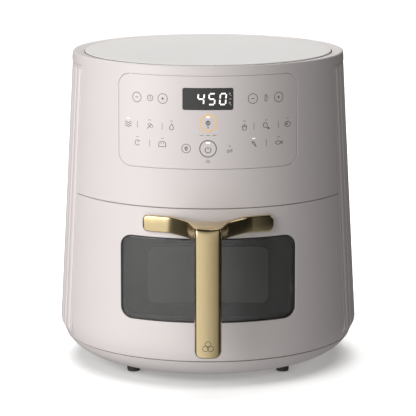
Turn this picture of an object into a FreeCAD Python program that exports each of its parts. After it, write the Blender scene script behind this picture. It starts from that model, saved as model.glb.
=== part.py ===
import FreeCAD, Part
import math
import os

V = FreeCAD.Vector

# Air fryer: round plan, front towards -Y, standing on z = 0, axis of the body on the Z axis. Millimetres.

# ---- driving dimensions of the outside form ----
HEIGHT = 313.0            # table to the top of the rim
RIM_RADIUS = 135.2        # outside radius at the rim
SPLAY = 0.0556            # radius gained per millimetre down the wall
TURN_RADIUS = 45.0        # round turn of the wall into the underside
FLOOR_Z = 3.5             # underside of the body, also the height of the feet
WALL = 2.5                # moulded plastic wall
FORM_START = 30.0         # where the turned surfaces begin, degrees from +X, clear of every cut
SEAM_GAP = 0.8            # shut line between visible mouldings
LOWER_SEAM = 27.0         # top of the base
UPPER_SEAM = 177.0        # top of the drawer front
FRONT_ANGLE = 65.0        # half angle of the drawer front, degrees from -Y
SIDE_END_ANGLE = 113.0    # where the fluted side meets the rear cover

# ---- clearances ----
SEAT = 0.2                # loose seat between fixed pieces
RUN = 0.05                # running fit on a radius
SLIDE = 0.5               # clearance of sliding flat faces

# ---- rim, lid and control panel ----
RIM_HEIGHT = 9.6
RIM_WIDTH = 11.2
RIM_FILLET = 2.5
LID_SINK = 1.5            # lid top below the rim
LID_THICK = 3.0
LID_GAP = 0.7
LEDGE_WIDTH = 8.0
SKIRT_HEIGHT = 9.0
PANEL_HALF_WIDTH = 85.3
PANEL_HEIGHT = 88.8
PANEL_CORNER = 11.5
PANEL_THICK = 1.5
PANEL_GAP = 0.4
DISPLAY_HALF_WIDTH = 24.0
DISPLAY_HEIGHT = 20.6
DISPLAY_CORNER = 3.0
DISPLAY_DROP = 12.0       # panel top to display top
BOARD_THICK = 1.6
BOARD_HALF_WIDTH = 70.0
BOARD_HEIGHT = 74.0

# ---- fluted sides ----
SIDE_WALL = 4.0
SIDE_TURN = 16.0
FLUTE_COUNT = 9
FLUTE_RADIUS = 2.4
FLUTE_DEPTH = 1.7

# ---- basket, cavity and drawer ----
BASKET_HALF_WIDTH = 108.0
BASKET_FRONT = -112.0
BASKET_BACK = 104.0
BASKET_CORNER = 46.0
BASKET_WALL = 1.5
BASKET_FLANGE = 3.0
BASKET_FLOOR = 40.0
BASKET_HEADROOM = 19.0    # drawer top down to the basket rim
LINER_GAP = 7.5           # basket side to the cavity side
LINER_WALL = 1.2
LINER_FLOOR = 34.0
MOUTH_Y = -60.0           # front of the cavity
FRAME_THICK = 2.0
RAIL_WIDTH = 8.0
RAIL_OFFSET = 72.0
WINDOW_HALF_WIDTH = 84.3
WINDOW_SILL = 40.0        # lower seam up to the window
WINDOW_HEAD = 28.7        # window up to the upper seam
WINDOW_CORNER = 11.0
WINDOW_BORDER = 1.2
WINDOW_RECESS = 0.3
RETAINER_THICK = 2.0
RETAINER_OUT = 7.0        # retainer beyond the window all round
RETAINER_IN = 5.0
PANE_HALF_WIDTH = 58.0
PANE_SILL = 36.5          # basket underside up to the basket window
PANE_HEAD = 22.5          # basket window up to the basket rim
PANE_CORNER = 8.5
PANE_THICK = 2.0
CRISPER_LIFT = 10.5       # basket floor up to the crisper plate
CRISPER_THICK = 1.5
CRISPER_EDGE = 2.0
HOLE_RADIUS = 4.5
HOLE_PITCH = 19.0

# ---- handle ----
GRIP_HALF_WIDTH = 12.2
GRIP_FRONT = 196.5
GRIP_THICK = 11.0
GRIP_SILL = 17.0          # lower seam up to the end of the grip
GRIP_CORNER = 6.0
ARM_HEIGHT = 15.0
ARM_DROP = 8.0            # upper seam down to the top of the arms
ARM_REACH = 62.5
ARM_THICK = 4.5
ARM_LEAVE = 43.0          # where the arms leave the drawer front
NECK_BACK = 171.5         # back of the neck behind the grip

# ---- heater, fans and motor ----
CHAMBER_MARGIN = 4.5      # heat chamber inside the cavity's sides
CHAMBER_HEIGHT = 34.0
CHAMBER_WALL = 1.0
GUARD_SEAT = 7.0          # cavity top under the edge of the guard
HEATER_TUBE = 3.2
HEATER_MARGINS = (41.0, 21.0)   # element loops inside the heat chamber
HEATER_FRONT = 14.0       # front of the outer loop behind the cavity's mouth
HEATER_BEND = 0.65        # bends of the loops, as a share of their half width
SHAFT_RADIUS = 3.0
FAN_MARGIN = 14.0         # hot-air fan inside the inner element loop
FAN_BLADES = 10
COOLING_RADIUS = 58.0
COOLING_BLADES = 7
DECK_THICK = 2.5
PROBE_RADIUS = 1.5
MOTOR_RADIUS = 34.0
MOTOR_HEIGHT = 30.0

# ---- feet and small parts ----
FOOT_OFFSET = 73.0
FOOT_RADIUS = 9.0
SCREW_RADIUS = 1.9
HEAD_RADIUS = 3.8
HEAD_HEIGHT = 1.8
COUNTERBORE = 0.7
SCREW_LENGTH = 12.0
GLAND_Z = 62.0
GLAND_BORE = 3.6
GLAND_RADIUS = 8.0
OUTLET_HALF_WIDTH = 48.0
OUTLET_LOW = 192.0
OUTLET_HEIGHT = 62.0
PLUNGER_RADIUS = 1.5
PLUNGER_TRAVEL = 1.5
PLUNGER_REACH = 11.0      # plunger behind the frame's rear face
PLUNGER_Z = 110.0
SWITCH_WIDTH = 6.0

# ---- worked-out levels ----
FAR = 3 * RIM_RADIUS                       # beyond everything, for cutting tools
SLOPE = math.atan(SPLAY)
RIM_LOW = HEIGHT - RIM_HEIGHT
LID_TOP = HEIGHT - LID_SINK
LEDGE_TOP = LID_TOP - LID_THICK
PANEL_TOP = RIM_LOW - 0.3
PANEL_LOW = PANEL_TOP - PANEL_HEIGHT
DISPLAY_TOP = PANEL_TOP - DISPLAY_DROP
DRAWER_LOW = LOWER_SEAM + SEAM_GAP
DRAWER_TOP = UPPER_SEAM - SEAM_GAP / 2
HOUSING_LOW = UPPER_SEAM + SEAM_GAP / 2
BASKET_RIM = DRAWER_TOP - BASKET_HEADROOM
LINER_HALF = BASKET_HALF_WIDTH + LINER_GAP
LINER_BACK = BASKET_BACK + LINER_GAP
SHELF_Z = UPPER_SEAM - 5.0                 # top of the cavity
CHAMBER_RADIUS = LINER_HALF - CHAMBER_MARGIN
SHELF_HOLE = CHAMBER_RADIUS - GUARD_SEAT
HEATER_RINGS = [CHAMBER_RADIUS - margin for margin in HEATER_MARGINS]
FAN_RADIUS = HEATER_RINGS[0] - FAN_MARGIN
SHELF_TOP = SHELF_Z + LINER_WALL
CHAMBER_TOP = SHELF_TOP + CHAMBER_HEIGHT
DECK_Z = CHAMBER_TOP + 7.0
DECK_TOP = DECK_Z + DECK_THICK
MOTOR_TOP = DECK_TOP + MOTOR_HEIGHT
HEATER_Z = SHELF_TOP + 11.0
FAN_LOW = HEATER_Z + 7.0
FAN_TOP = CHAMBER_TOP - CHAMBER_WALL - 2.0
COOLING_LOW = MOTOR_TOP + 5.0
COOLING_TOP = COOLING_LOW + 11.0
BACK_WALL_Y = MOUTH_Y - FRAME_THICK - 1.8  # rear face of the drawer's back panel
WINDOW_LOW = LOWER_SEAM + WINDOW_SILL
WINDOW_TOP = UPPER_SEAM - WINDOW_HEAD
PANE_LOW = BASKET_FLOOR + PANE_SILL
PANE_TOP = BASKET_RIM - PANE_HEAD
CRISPER_Z = BASKET_FLOOR + BASKET_WALL + CRISPER_LIFT
ARM_TOP = UPPER_SEAM - ARM_DROP
ARM_LOW = ARM_TOP - ARM_HEIGHT
GRIP_LOW = LOWER_SEAM + GRIP_SILL


# ---- building blocks ----

def wall_radius(z, inset=0.0):
    """Radius of the sloping wall at height z, drawn in by inset."""
    return RIM_RADIUS + (HEIGHT - z) * SPLAY - inset / math.cos(SLOPE)


def box(x0, x1, y0, y1, z0, z1):
    """Box between two corners."""
    return Part.makeBox(x1 - x0, y1 - y0, z1 - z0, V(x0, y0, z0))


def rod(radius, z0, z1, x=0.0, y=0.0):
    """Upright cylinder."""
    return Part.makeCylinder(radius, z1 - z0, V(x, y, z0))


def rod_y(radius, y0, y1, x, z):
    """Cylinder along Y."""
    return Part.makeCylinder(radius, y1 - y0, V(x, y0, z), V(0, 1, 0))


def ring(r_in, r_out, z0, z1, x=0.0, y=0.0):
    """Upright tube."""
    return rod(r_out, z0, z1, x, y).cut(rod(r_in, z0 - 1, z1 + 1, x, y))


def join(shapes):
    """One solid from overlapping or touching shapes, with no seams left on its faces."""
    return shapes[0].multiFuse(shapes[1:]).removeSplitter()


def group(shapes):
    """Separate solids kept together in one node."""
    return Part.makeCompound([solid for shape in shapes for solid in shape.Solids])


def turned(shape, angle):
    """Copy of a shape turned about the body axis."""
    copy = shape.copy()
    copy.rotate(V(0, 0, 0), V(0, 0, 1), angle)
    return copy


def mirrored(shape):
    """Copy of a shape on the other side of the middle plane."""
    return shape.mirror(V(0, 0, 0), V(1, 0, 0))


def rounded_prism(u0, u1, v0, v1, radius, place, along):
    """Prism on a rectangle with round corners; place puts (u, v) in space."""
    c = radius * (1 - math.sqrt(0.5))
    sides = [((u0 + radius, v0), (u1 - radius, v0)), ((u1, v0 + radius), (u1, v1 - radius)),
             ((u1 - radius, v1), (u0 + radius, v1)), ((u0, v1 - radius), (u0, v0 + radius))]
    middles = [(u1 - c, v0 + c), (u1 - c, v1 - c), (u0 + c, v1 - c), (u0 + c, v0 + c)]
    edges = []
    for i, (start, end) in enumerate(sides):
        following = sides[(i + 1) % 4][0]
        edges.append(Part.LineSegment(place(*start), place(*end)).toShape())
        edges.append(Part.Arc(place(*end), place(*middles[i]), place(*following)).toShape())
    return Part.Face(Part.Wire(edges)).extrude(along)


def front_prism(half_width, z0, z1, radius, y0=-FAR, y1=0.0):
    """Prism along Y with a round-cornered outline facing the front."""
    run = V(0, y1 - y0, 0)
    return rounded_prism(-half_width, half_width, z0, z1, radius, lambda u, v: V(u, y0, v), run)


def plan_prism(half_width, y0, y1, radius, z0, z1):
    """Upright prism with a round-cornered plan."""
    run = V(0, 0, z1 - z0)
    return rounded_prism(-half_width, half_width, y0, y1, radius, lambda u, v: V(u, v, z0), run)


def sector(a0, a1, z0, z1):
    """Wedge of space between two angles from the front, positive towards +X."""
    return turned(Part.makeCylinder(FAR, z1 - z0, V(0, 0, z0), V(0, 0, 1), a1 - a0), a0 - 90)


def body_form(inset, turn=TURN_RADIUS, floor=FLOOR_Z):
    """The outside form of the body, drawn in by inset, as a solid."""
    centre = V(wall_radius(floor + turn, turn), 0, floor + turn)
    reach = turn - inset
    start = centre + V(0, 0, -reach)
    low = 0.5 * (SLOPE - math.pi / 2)
    middle = centre + V(math.cos(low), 0, math.sin(low)) * reach
    end = centre + V(math.cos(SLOPE), 0, math.sin(SLOPE)) * reach
    top = V(wall_radius(HEIGHT, inset), 0, HEIGHT)
    hub_low = V(0, 0, start.z)
    hub_top = V(0, 0, HEIGHT)
    edges = [Part.LineSegment(hub_low, start).toShape(), Part.Arc(start, middle, end).toShape(),
             Part.LineSegment(end, top).toShape(), Part.LineSegment(top, hub_top).toShape(),
             Part.LineSegment(hub_top, hub_low).toShape()]
    return turned(Part.Face(Part.Wire(edges)).revolve(V(0, 0, 0), V(0, 0, 1), 360), FORM_START)


def band(inset, depth, a0, a1, z0, z1, **form):
    """Piece of the wall from inset to depth, between two angles and two heights."""
    shell = body_form(inset, **form).cut(body_form(depth, **form))
    return shell.common(sector(a0, a1, z0, z1))


def screw_y(x, z, y_tip, y_seat, outward):
    """Round-headed screw along Y from its tip to the seat of its head."""
    shank = rod_y(SCREW_RADIUS, min(y_tip, y_seat), max(y_tip, y_seat), x, z)
    y_head = y_seat if outward > 0 else y_seat - HEAD_HEIGHT
    return join([shank, rod_y(HEAD_RADIUS, y_head, y_head + HEAD_HEIGHT, x, z)])


# ---- outer casing ----

def control_outline(grow, y0=-FAR):
    """Space taken by the control panel, grown all round."""
    return front_prism(PANEL_HALF_WIDTH + grow, PANEL_LOW - grow, PANEL_TOP + grow, PANEL_CORNER + grow, y0)


def display_outline(grow):
    """Space taken by the display window, grown all round."""
    low = DISPLAY_TOP - DISPLAY_HEIGHT
    return front_prism(DISPLAY_HALF_WIDTH + grow, low - grow, DISPLAY_TOP + grow, DISPLAY_CORNER + grow)


def upper_housing():
    """Front wall above the drawer, with the full rim, the lid's ledge and the skirt for the side pieces."""
    rim = band(0, RIM_WIDTH, -180, 180, RIM_LOW, HEIGHT)
    wall = band(0, WALL + PANEL_THICK, -FRONT_ANGLE, FRONT_ANGLE, HOUSING_LOW, RIM_LOW)
    inner = wall_radius(HEIGHT, RIM_WIDTH)
    ledge = ring(inner - LEDGE_WIDTH, inner + 1, LEDGE_TOP - 3, LEDGE_TOP)
    skirt_inset = SIDE_WALL + SEAT
    skirt = band(skirt_inset, skirt_inset + WALL, -180, 180, RIM_LOW - SKIRT_HEIGHT, RIM_LOW)
    flange_inner = -MOUTH_Y + FRAME_THICK
    flange = body_form(WALL).common(sector(-FRONT_ANGLE, FRONT_ANGLE, HOUSING_LOW, HOUSING_LOW + WALL))
    flange = flange.cut(box(-FAR, FAR, -flange_inner, FAR, 0, HEIGHT))
    flange = flange.cut(rod(CHAMBER_RADIUS + SLIDE, 0, HEIGHT))
    solid = join([wall, rim, ledge, skirt, flange])
    top_edges = [edge for edge in solid.Edges if edge.BoundBox.ZMin > HEIGHT - 0.01]
    corner = [edge for edge in top_edges if edge.BoundBox.XMax > RIM_RADIUS - 0.1]
    solid = solid.makeFillet(RIM_FILLET, corner)
    pocket = control_outline(PANEL_GAP).cut(body_form(PANEL_THICK + SEAT))
    return solid.cut([pocket, display_outline(-1.5)] + screw_holes(RUN))


def control_panel():
    """Curved touch panel let into the front wall."""
    skin = body_form(0).cut(body_form(PANEL_THICK))
    return skin.common(control_outline(0)).cut(display_outline(SEAT))


def display_window():
    """Smoked window over the digits, flush with the panel."""
    return body_form(0).cut(body_form(PANEL_THICK)).common(display_outline(0))


def board_plane():
    """Y of the control board's front face, close behind the front wall at its corners."""
    free = wall_radius(PANEL_TOP, WALL + PANEL_THICK) - 3.0
    return -math.sqrt(free ** 2 - BOARD_HALF_WIDTH ** 2)


def wall_stud(x, z, y_end, radius):
    """Short pillar from a plane up to the inside of the front wall."""
    return rod_y(radius, -FAR, y_end, x, z).common(body_form(WALL + PANEL_THICK + SEAT))


def control_board():
    """Circuit board behind the touch panel, on four short pillars."""
    y0 = board_plane()
    low = PANEL_LOW + 6.0
    board = front_prism(BOARD_HALF_WIDTH, low, low + BOARD_HEIGHT, 3.0, y0, y0 + BOARD_THICK)
    pillars = [wall_stud(x, z, y0, 2.5) for x in (-62.0, 62.0) for z in (low + 6, low + BOARD_HEIGHT - 6)]
    return join([board] + pillars)


def display_module():
    """Light box of the digit display, between the board and the window."""
    free = body_form(WALL + PANEL_THICK + SLIDE)
    return display_outline(-2.0).cut(box(-FAR, FAR, board_plane(), FAR, 0, HEIGHT)).common(free)


def touch_pads():
    """Sensing springs between the board and the panel, one for each touch key."""
    low = PANEL_LOW
    keys = [(40.0, 66.0), (52.0, 38.0), (52.0, 22.0), (26.0, 22.0), (26.0, 38.0)]
    places = [(side * x, low + z) for x, z in keys for side in (-1, 1)]
    places += [(0.0, low + 43.8), (0.0, low + 19.3), (-18.0, low + 10.0)]
    return group([wall_stud(x, z, board_plane(), 3.2) for x, z in places])


def top_cover():
    """Round lid let into the rim, with a locating ring below."""
    radius = wall_radius(HEIGHT, RIM_WIDTH) - LID_GAP
    disc = rod(radius, LEDGE_TOP, LID_TOP)
    disc = disc.makeFillet(0.8, [e for e in disc.Edges if e.BoundBox.ZMin > LID_TOP - 0.01])
    outer = wall_radius(HEIGHT, RIM_WIDTH) - LEDGE_WIDTH - SLIDE
    return join([disc, ring(outer - WALL, outer, LEDGE_TOP - 6, LEDGE_TOP + 0.5)])


def side_panel():
    """Fluted side wall on the +X side, its crests flush with the body."""
    a0 = FRONT_ANGLE + 0.5
    a1 = SIDE_END_ANGLE
    form = {"turn": SIDE_TURN, "floor": LOWER_SEAM + 0.5}
    panel = band(0, SIDE_WALL, a0, a1, LOWER_SEAM + 0.5, RIM_LOW - 0.4, **form)
    pitch = (a1 - a0) / FLUTE_COUNT
    axis_r = FLUTE_RADIUS - FLUTE_DEPTH
    tool_low = V(wall_radius(0) + axis_r, 0, 0)
    tool_high = V(wall_radius(RIM_LOW - 5) + axis_r, 0, RIM_LOW - 5)
    run = tool_high - tool_low
    tool = Part.makeCylinder(FLUTE_RADIUS, run.Length, tool_low, run)
    tool = tool.fuse(Part.makeSphere(FLUTE_RADIUS, tool_high))
    flutes = [turned(tool, a0 + pitch * (i + 0.5) - 90) for i in range(FLUTE_COUNT)]
    return panel.cut(flutes)


def outlet_outline(grow, y0=0.0):
    """Space of the air outlet in the rear cover, grown all round."""
    half = OUTLET_HALF_WIDTH + grow
    return front_prism(half, OUTLET_LOW - grow, OUTLET_LOW + OUTLET_HEIGHT + grow, 9.0 + grow, y0, FAR)


def rear_screw_places():
    """Places (x, z) of the rear cover's screws."""
    x_top = 52.0
    x_low = 52.0
    return [(side * x, z) for x, z in ((x_top, RIM_LOW - 4.5), (x_low, LOWER_SEAM + 8.0)) for side in (-1, 1)]


def rear_surface(x, z):
    """Y of the outside of the rear cover at a place on it."""
    if z > FLOOR_Z + TURN_RADIUS:
        radius = wall_radius(z)
    else:
        drop = FLOOR_Z + TURN_RADIUS - z
        radius = wall_radius(FLOOR_Z + TURN_RADIUS, TURN_RADIUS) + math.sqrt(TURN_RADIUS ** 2 - drop ** 2)
    return math.sqrt(radius ** 2 - x ** 2)


def screw_seat(x, z):
    """Y of the bottom of a screw's counterbore in the rear cover."""
    return rear_surface(abs(x) + HEAD_RADIUS, z) - COUNTERBORE


def screw_holes(grow):
    """Space of the rear cover's screws and of their heads, grown for their holes."""
    shanks = [rod_y(SCREW_RADIUS + grow, 0, FAR, x, z) for x, z in rear_screw_places()]
    heads = [rod_y(HEAD_RADIUS + SEAT, screw_seat(x, z), FAR, x, z) for x, z in rear_screw_places()]
    return shanks + heads


def rear_cover():
    """Smooth rear wall with the air outlet, the cord's gland hole and its screw holes."""
    cover = band(0, WALL, SIDE_END_ANGLE + 0.3, 360 - SIDE_END_ANGLE - 0.3, LOWER_SEAM + 0.5, RIM_LOW - 0.4)
    gland = rod_y(GLAND_RADIUS + SEAT, 0, FAR, 0, GLAND_Z)
    return cover.cut([outlet_outline(0), gland] + screw_holes(SEAT))


def cover_screws():
    """Four screws that hold the rear cover to the rim's skirt and to the base."""
    screws = []
    for x, z in rear_screw_places():
        screws.append(screw_y(x, z, screw_seat(x, z) - SCREW_LENGTH, screw_seat(x, z), 1))
    return group(screws)


def air_outlet_grille():
    """Slatted grille in the air outlet."""
    frame = outlet_outline(-SEAT).cut(outlet_outline(-4.0))
    pitch = 7.0
    slats = []
    level = OUTLET_LOW + pitch
    while level < OUTLET_LOW + OUTLET_HEIGHT - pitch / 2:
        slats.append(box(-OUTLET_HALF_WIDTH + 2, OUTLET_HALF_WIDTH - 2, 0, FAR, level - 1.2, level + 1.2))
        level += pitch
    slats.append(box(-1.5, 1.5, 0, FAR, OUTLET_LOW + 2, OUTLET_LOW + OUTLET_HEIGHT - 2))
    return join([frame] + slats).common(body_form(0.4).cut(body_form(WALL + 1.5)))


def cord_gland():
    """Moulded gland that the supply cord would leave through, open along its bore."""
    y_out = rear_surface(0, GLAND_Z)
    flange = rod_y(GLAND_RADIUS + 3, y_out + 0.6, y_out + 3.0, 0, GLAND_Z)
    nut = rod_y(GLAND_RADIUS + 2, y_out - WALL - 3.2, y_out - WALL - 0.6, 0, GLAND_Z)
    body = rod_y(GLAND_RADIUS, y_out - WALL - 3.2, y_out + 8.0, 0, GLAND_Z)
    return join([body, flange, nut]).cut(rod_y(GLAND_BORE, 0, FAR, 0, GLAND_Z))


# ---- base ----

def foot_places():
    """Places of the four feet."""
    return [(x, y) for x in (-FOOT_OFFSET, FOOT_OFFSET) for y in (-FOOT_OFFSET, FOOT_OFFSET)]


def base_shell():
    """Bowl that closes the body from below, with a pillar over each foot."""
    bowl = band(0, WALL, -180, 180, 0, LOWER_SEAM - WALL - SEAT)
    lip = band(0, WALL, -180, 180, LOWER_SEAM - WALL - SEAT - 1, LOWER_SEAM)
    pillars = [rod(6.0, FLOOR_Z + 1, LOWER_SEAM - WALL, x, y) for x, y in foot_places()]
    shell = join([bowl, lip] + pillars)
    bores = [rod(SCREW_RADIUS + RUN, -1, LOWER_SEAM, x, y) for x, y in foot_places()]
    slots = [box(x - 1.5, x + 1.5, -30, 30, -1, FLOOR_Z + 2 * WALL) for x in range(-42, 43, 12)]
    return shell.cut(bores + slots)


def base_deck():
    """Flat deck on the base's pillars, with the rear cover's lower skirt and the cavity's pads."""
    level = LOWER_SEAM - WALL
    disc = body_form(WALL + SEAT).common(sector(-180, 180, level, LOWER_SEAM))
    inset = WALL + SEAT
    skirt = band(inset, inset + WALL, SIDE_END_ANGLE + 8, 352 - SIDE_END_ANGLE, level, LOWER_SEAM + 13.0)
    pads = [rod(9.0, level, LINER_FLOOR, x, y) for x in (-60.0, 60.0) for y in (-40.0, 60.0)]
    bores = [rod(SCREW_RADIUS + RUN, level - 1, LOWER_SEAM + 1, x, y) for x, y in foot_places()]
    return join([disc, skirt] + pads).cut(bores + screw_holes(RUN))


def feet():
    """Four tapered rubber feet, each recessed for its screw."""
    shapes = []
    for x, y in foot_places():
        foot = Part.makeCone(FOOT_RADIUS - 1.5, FOOT_RADIUS, FLOOR_Z, V(x, y, 0))
        bore = rod(SCREW_RADIUS + RUN, -1, FLOOR_Z + 1, x, y)
        recess = rod(HEAD_RADIUS + RUN, -1, FLOOR_Z / 2, x, y)
        shapes.append(foot.cut([bore, recess]))
    return group(shapes)


def foot_screws():
    """Screws through the feet and the pillars into the deck."""
    shapes = []
    for x, y in foot_places():
        head = rod(HEAD_RADIUS, 0.4, FLOOR_Z / 2, x, y)
        shapes.append(join([head, rod(SCREW_RADIUS, 0.4, LOWER_SEAM - 0.6, x, y)]))
    return group(shapes)


# ---- cavity ----

def liner_prism(grow, y0, z0, z1):
    """Plan of the cavity, open at the front, grown all round."""
    corner = BASKET_CORNER + LINER_GAP + grow
    whole = plan_prism(LINER_HALF + grow, y0 - 3 * corner, LINER_BACK + grow, corner, z0, z1)
    return whole.common(box(-FAR, FAR, y0, FAR, z0, z1))


def cavity_liner():
    """Metal cavity that the basket slides into, open at the front and to the heater above."""
    outer = liner_prism(LINER_WALL, MOUTH_Y, LINER_FLOOR, SHELF_TOP)
    inner = liner_prism(0, MOUTH_Y - 1, LINER_FLOOR + LINER_WALL, SHELF_Z)
    hole = rod(SHELF_HOLE, SHELF_Z - 1, SHELF_TOP + 1).common(box(-FAR, FAR, MOUTH_Y + 4, FAR, 0, HEIGHT))
    lamp = lamp_hole(SEAT)
    return outer.cut([inner, hole, lamp])


def front_frame():
    """Plate round the mouth of the cavity, behind the drawer front."""
    slab = box(-FAR, FAR, MOUTH_Y - FRAME_THICK, MOUTH_Y, LOWER_SEAM, HOUSING_LOW + WALL)
    plate = slab.common(body_form(SIDE_WALL + 1.0, turn=SIDE_TURN, floor=LOWER_SEAM + 0.5))
    low = LINER_FLOOR + LINER_WALL
    mouth = box(-LINER_HALF, LINER_HALF, -FAR, 0, low, SHELF_Z)
    hole = rod_y(PLUNGER_RADIUS + RUN, -FAR, 0, plunger_x(), PLUNGER_Z)
    return plate.cut([mouth, hole])


def slide_rails():
    """Two low rails on the cavity floor that carry the basket."""
    y1 = LINER_BACK - BASKET_CORNER
    low = LINER_FLOOR + LINER_WALL
    rail = box(RAIL_OFFSET, RAIL_OFFSET + RAIL_WIDTH, MOUTH_Y, y1, low, BASKET_FLOOR - 0.3)
    return group([rail, mirrored(rail)])


def lamp_hole(grow):
    """Window of the cavity lamp in the left wall of the cavity."""
    x = LINER_HALF + LINER_WALL
    z1 = SHELF_Z - 8
    return box(-x - 1.2, -LINER_HALF + 0.1, -15 - grow, 15 + grow, z1 - 18 - grow, z1 + grow)


def lamp_lens():
    """Heat-proof glass of the cavity lamp."""
    return lamp_hole(0).common(box(-FAR, -LINER_HALF - 0.1, -FAR, FAR, 0, HEIGHT))


def lamp_housing():
    """Metal box of the cavity lamp, fixed outside the cavity wall."""
    x1 = -LINER_HALF - LINER_WALL
    z1 = SHELF_Z - 5
    case = box(x1 - 12, x1, -19, 19, z1 - 24, z1)
    hollow = box(x1 - 10.5, x1 + 1, -17.5, 17.5, z1 - 22.5, z1 - 1.5)
    return case.cut(hollow)


def cavity_lamp():
    """Small lamp in its housing, with its holder."""
    x1 = -LINER_HALF - LINER_WALL
    z = SHELF_Z - 17
    holder = Part.makeCylinder(5.0, 4.0, V(x1 - 10.4, 0, z), V(1, 0, 0))
    bulb = Part.makeSphere(4.0, V(x1 - 6.0, 0, z))
    return join([holder, bulb])


# ---- door interlock ----

def plunger_x():
    """X of the interlock plunger, beside the cavity wall."""
    return LINER_HALF + LINER_WALL + SEAT + SWITCH_WIDTH / 2


def interlock_switch():
    """Switch that senses the closed drawer, with the plunger's bore."""
    x0 = LINER_HALF + LINER_WALL + SEAT
    body = box(x0, x0 + SWITCH_WIDTH, MOUTH_Y, MOUTH_Y + 22, PLUNGER_Z - 9, PLUNGER_Z + 9)
    depth = MOUTH_Y + PLUNGER_REACH + PLUNGER_TRAVEL + 1.0
    bore = rod_y(PLUNGER_RADIUS + RUN, -FAR, depth, plunger_x(), PLUNGER_Z)
    return body.cut(bore)


def interlock_plunger():
    """Sprung pin that the drawer's back panel presses."""
    tip = BACK_WALL_Y + 0.4
    return rod_y(PLUNGER_RADIUS, tip, MOUTH_Y + PLUNGER_REACH, plunger_x(), PLUNGER_Z)


# ---- heater and fans ----

def heat_chamber():
    """Inverted metal cup over the cavity, round the heater and the fan."""
    cup = rod(CHAMBER_RADIUS, SHELF_TOP, CHAMBER_TOP)
    cup = cup.cut(rod(CHAMBER_RADIUS - CHAMBER_WALL, SHELF_TOP - 1, CHAMBER_TOP - CHAMBER_WALL))
    shaft = rod(SHAFT_RADIUS + 1.5, 0, HEIGHT)
    front = box(-FAR, FAR, -FAR, MOUTH_Y, 0, HEIGHT)
    probe = rod(PROBE_RADIUS + SEAT, 0, HEIGHT, probe_place(), probe_place())
    return join([cup.cut([shaft, front, probe] + heater_leads(SEAT)), chamber_front()])


def chamber_front():
    """Flat front wall of the heat chamber, behind the upper housing."""
    half = math.sqrt(CHAMBER_RADIUS ** 2 - MOUTH_Y ** 2)
    return box(-half, half, MOUTH_Y, MOUTH_Y + CHAMBER_WALL, SHELF_TOP, CHAMBER_TOP)


def heater_leads(grow):
    """Upright ends of the heating element."""
    return [rod(HEATER_TUBE + grow, HEATER_Z, DECK_Z - 1, x, 0.8 * HEATER_RINGS[0]) for x in (-20.0, 20.0)]


def loop_front(half):
    """Y of the front run of a loop of the element, nested like its sides."""
    return MOUTH_Y + HEATER_FRONT + HEATER_RINGS[1] - half


def loop_bend(half):
    """Radius of a loop's bends, no more than its sides leave room for."""
    return min(HEATER_BEND * half, 0.47 * (half - loop_front(half)))


def loop_reach(half):
    """Distance of a loop from the axis halfway round its rear bends."""
    return math.sqrt(2) * (half - loop_bend(half)) + loop_bend(half)


def probe_place():
    """X of the temperature probe, and its Y, between the two loops of the element."""
    reach = 0.5 * (loop_reach(HEATER_RINGS[0]) + loop_reach(HEATER_RINGS[1]))
    return reach * math.sqrt(0.5)


def heater_loop(half):
    """One loop of the element: a tube along a rounded rectangle, flattened towards the front."""
    front = loop_front(half)
    bend = loop_bend(half)
    c = bend * (1 - math.sqrt(0.5))
    corners = [(half, front, -1, 1), (half, half, -1, -1), (-half, half, 1, -1), (-half, front, 1, 1)]
    ends = []
    for i, (x, y, sx, sy) in enumerate(corners):
        along_x = V(x + sx * bend, y, HEATER_Z)
        along_y = V(x, y + sy * bend, HEATER_Z)
        middle = V(x + sx * c, y + sy * c, HEATER_Z)
        ends.append((along_x, middle, along_y) if i % 2 == 0 else (along_y, middle, along_x))
    edges = []
    for i, (start, middle, end) in enumerate(ends):
        edges.append(Part.Arc(start, middle, end).toShape())
        edges.append(Part.LineSegment(end, ends[(i + 1) % 4][0]).toShape())
    start = ends[0][0]
    section = Part.Wire(Part.Circle(start, V(1, 0, 0), HEATER_TUBE).toShape())
    return Part.Wire(edges).makePipeShell([section], True, True)


def heater_coil():
    """Tubular element: two loops, bridged, with two upright ends."""
    inner, outer = HEATER_RINGS
    parts = [heater_loop(inner), heater_loop(outer)]
    parts.append(Part.makeCylinder(0.9 * HEATER_TUBE, outer - inner, V(0, inner, HEATER_Z), V(0, 1, 0)))
    for x in (-20.0, 20.0):
        feed = V(x, 0.8 * inner - 2.0, HEATER_Z)
        parts.append(Part.makeCylinder(0.9 * HEATER_TUBE, 0.2 * inner + 2.0, feed, V(0, 1, 0)))
    return join(parts + heater_leads(0))


def heater_brackets():
    """Three hangers that carry the element from the top of the chamber."""
    inner, outer = HEATER_RINGS
    z0 = HEATER_Z + HEATER_TUBE + 0.25
    bar = box(inner - 6, outer + 7, -4, 4, z0, z0 + 1.5)
    strip = box(outer + 5.5, outer + 7, -4, 4, z0, CHAMBER_TOP - CHAMBER_WALL)
    bracket = join([bar, strip])
    return group([turned(bracket, angle) for angle in (0, 90, 180)])


def heater_guard():
    """Wire guard under the element: rings and spokes on the cavity's top."""
    z0 = SHELF_TOP
    wires = [ring(r, r + 2, z0, z0 + 1.5) for r in (20, 40, 60, 80)]
    outer = ring(SHELF_HOLE - 3, CHAMBER_RADIUS - CHAMBER_WALL - SLIDE, z0, z0 + 1.5)
    spokes = [turned(box(0, SHELF_HOLE, -1.2, 1.2, z0, z0 + 1.5), angle) for angle in range(0, 360, 45)]
    whole = join(wires + [outer] + spokes)
    return whole.common(box(-FAR, FAR, MOUTH_Y + CHAMBER_WALL + SLIDE, FAR, 0, HEIGHT))


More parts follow.
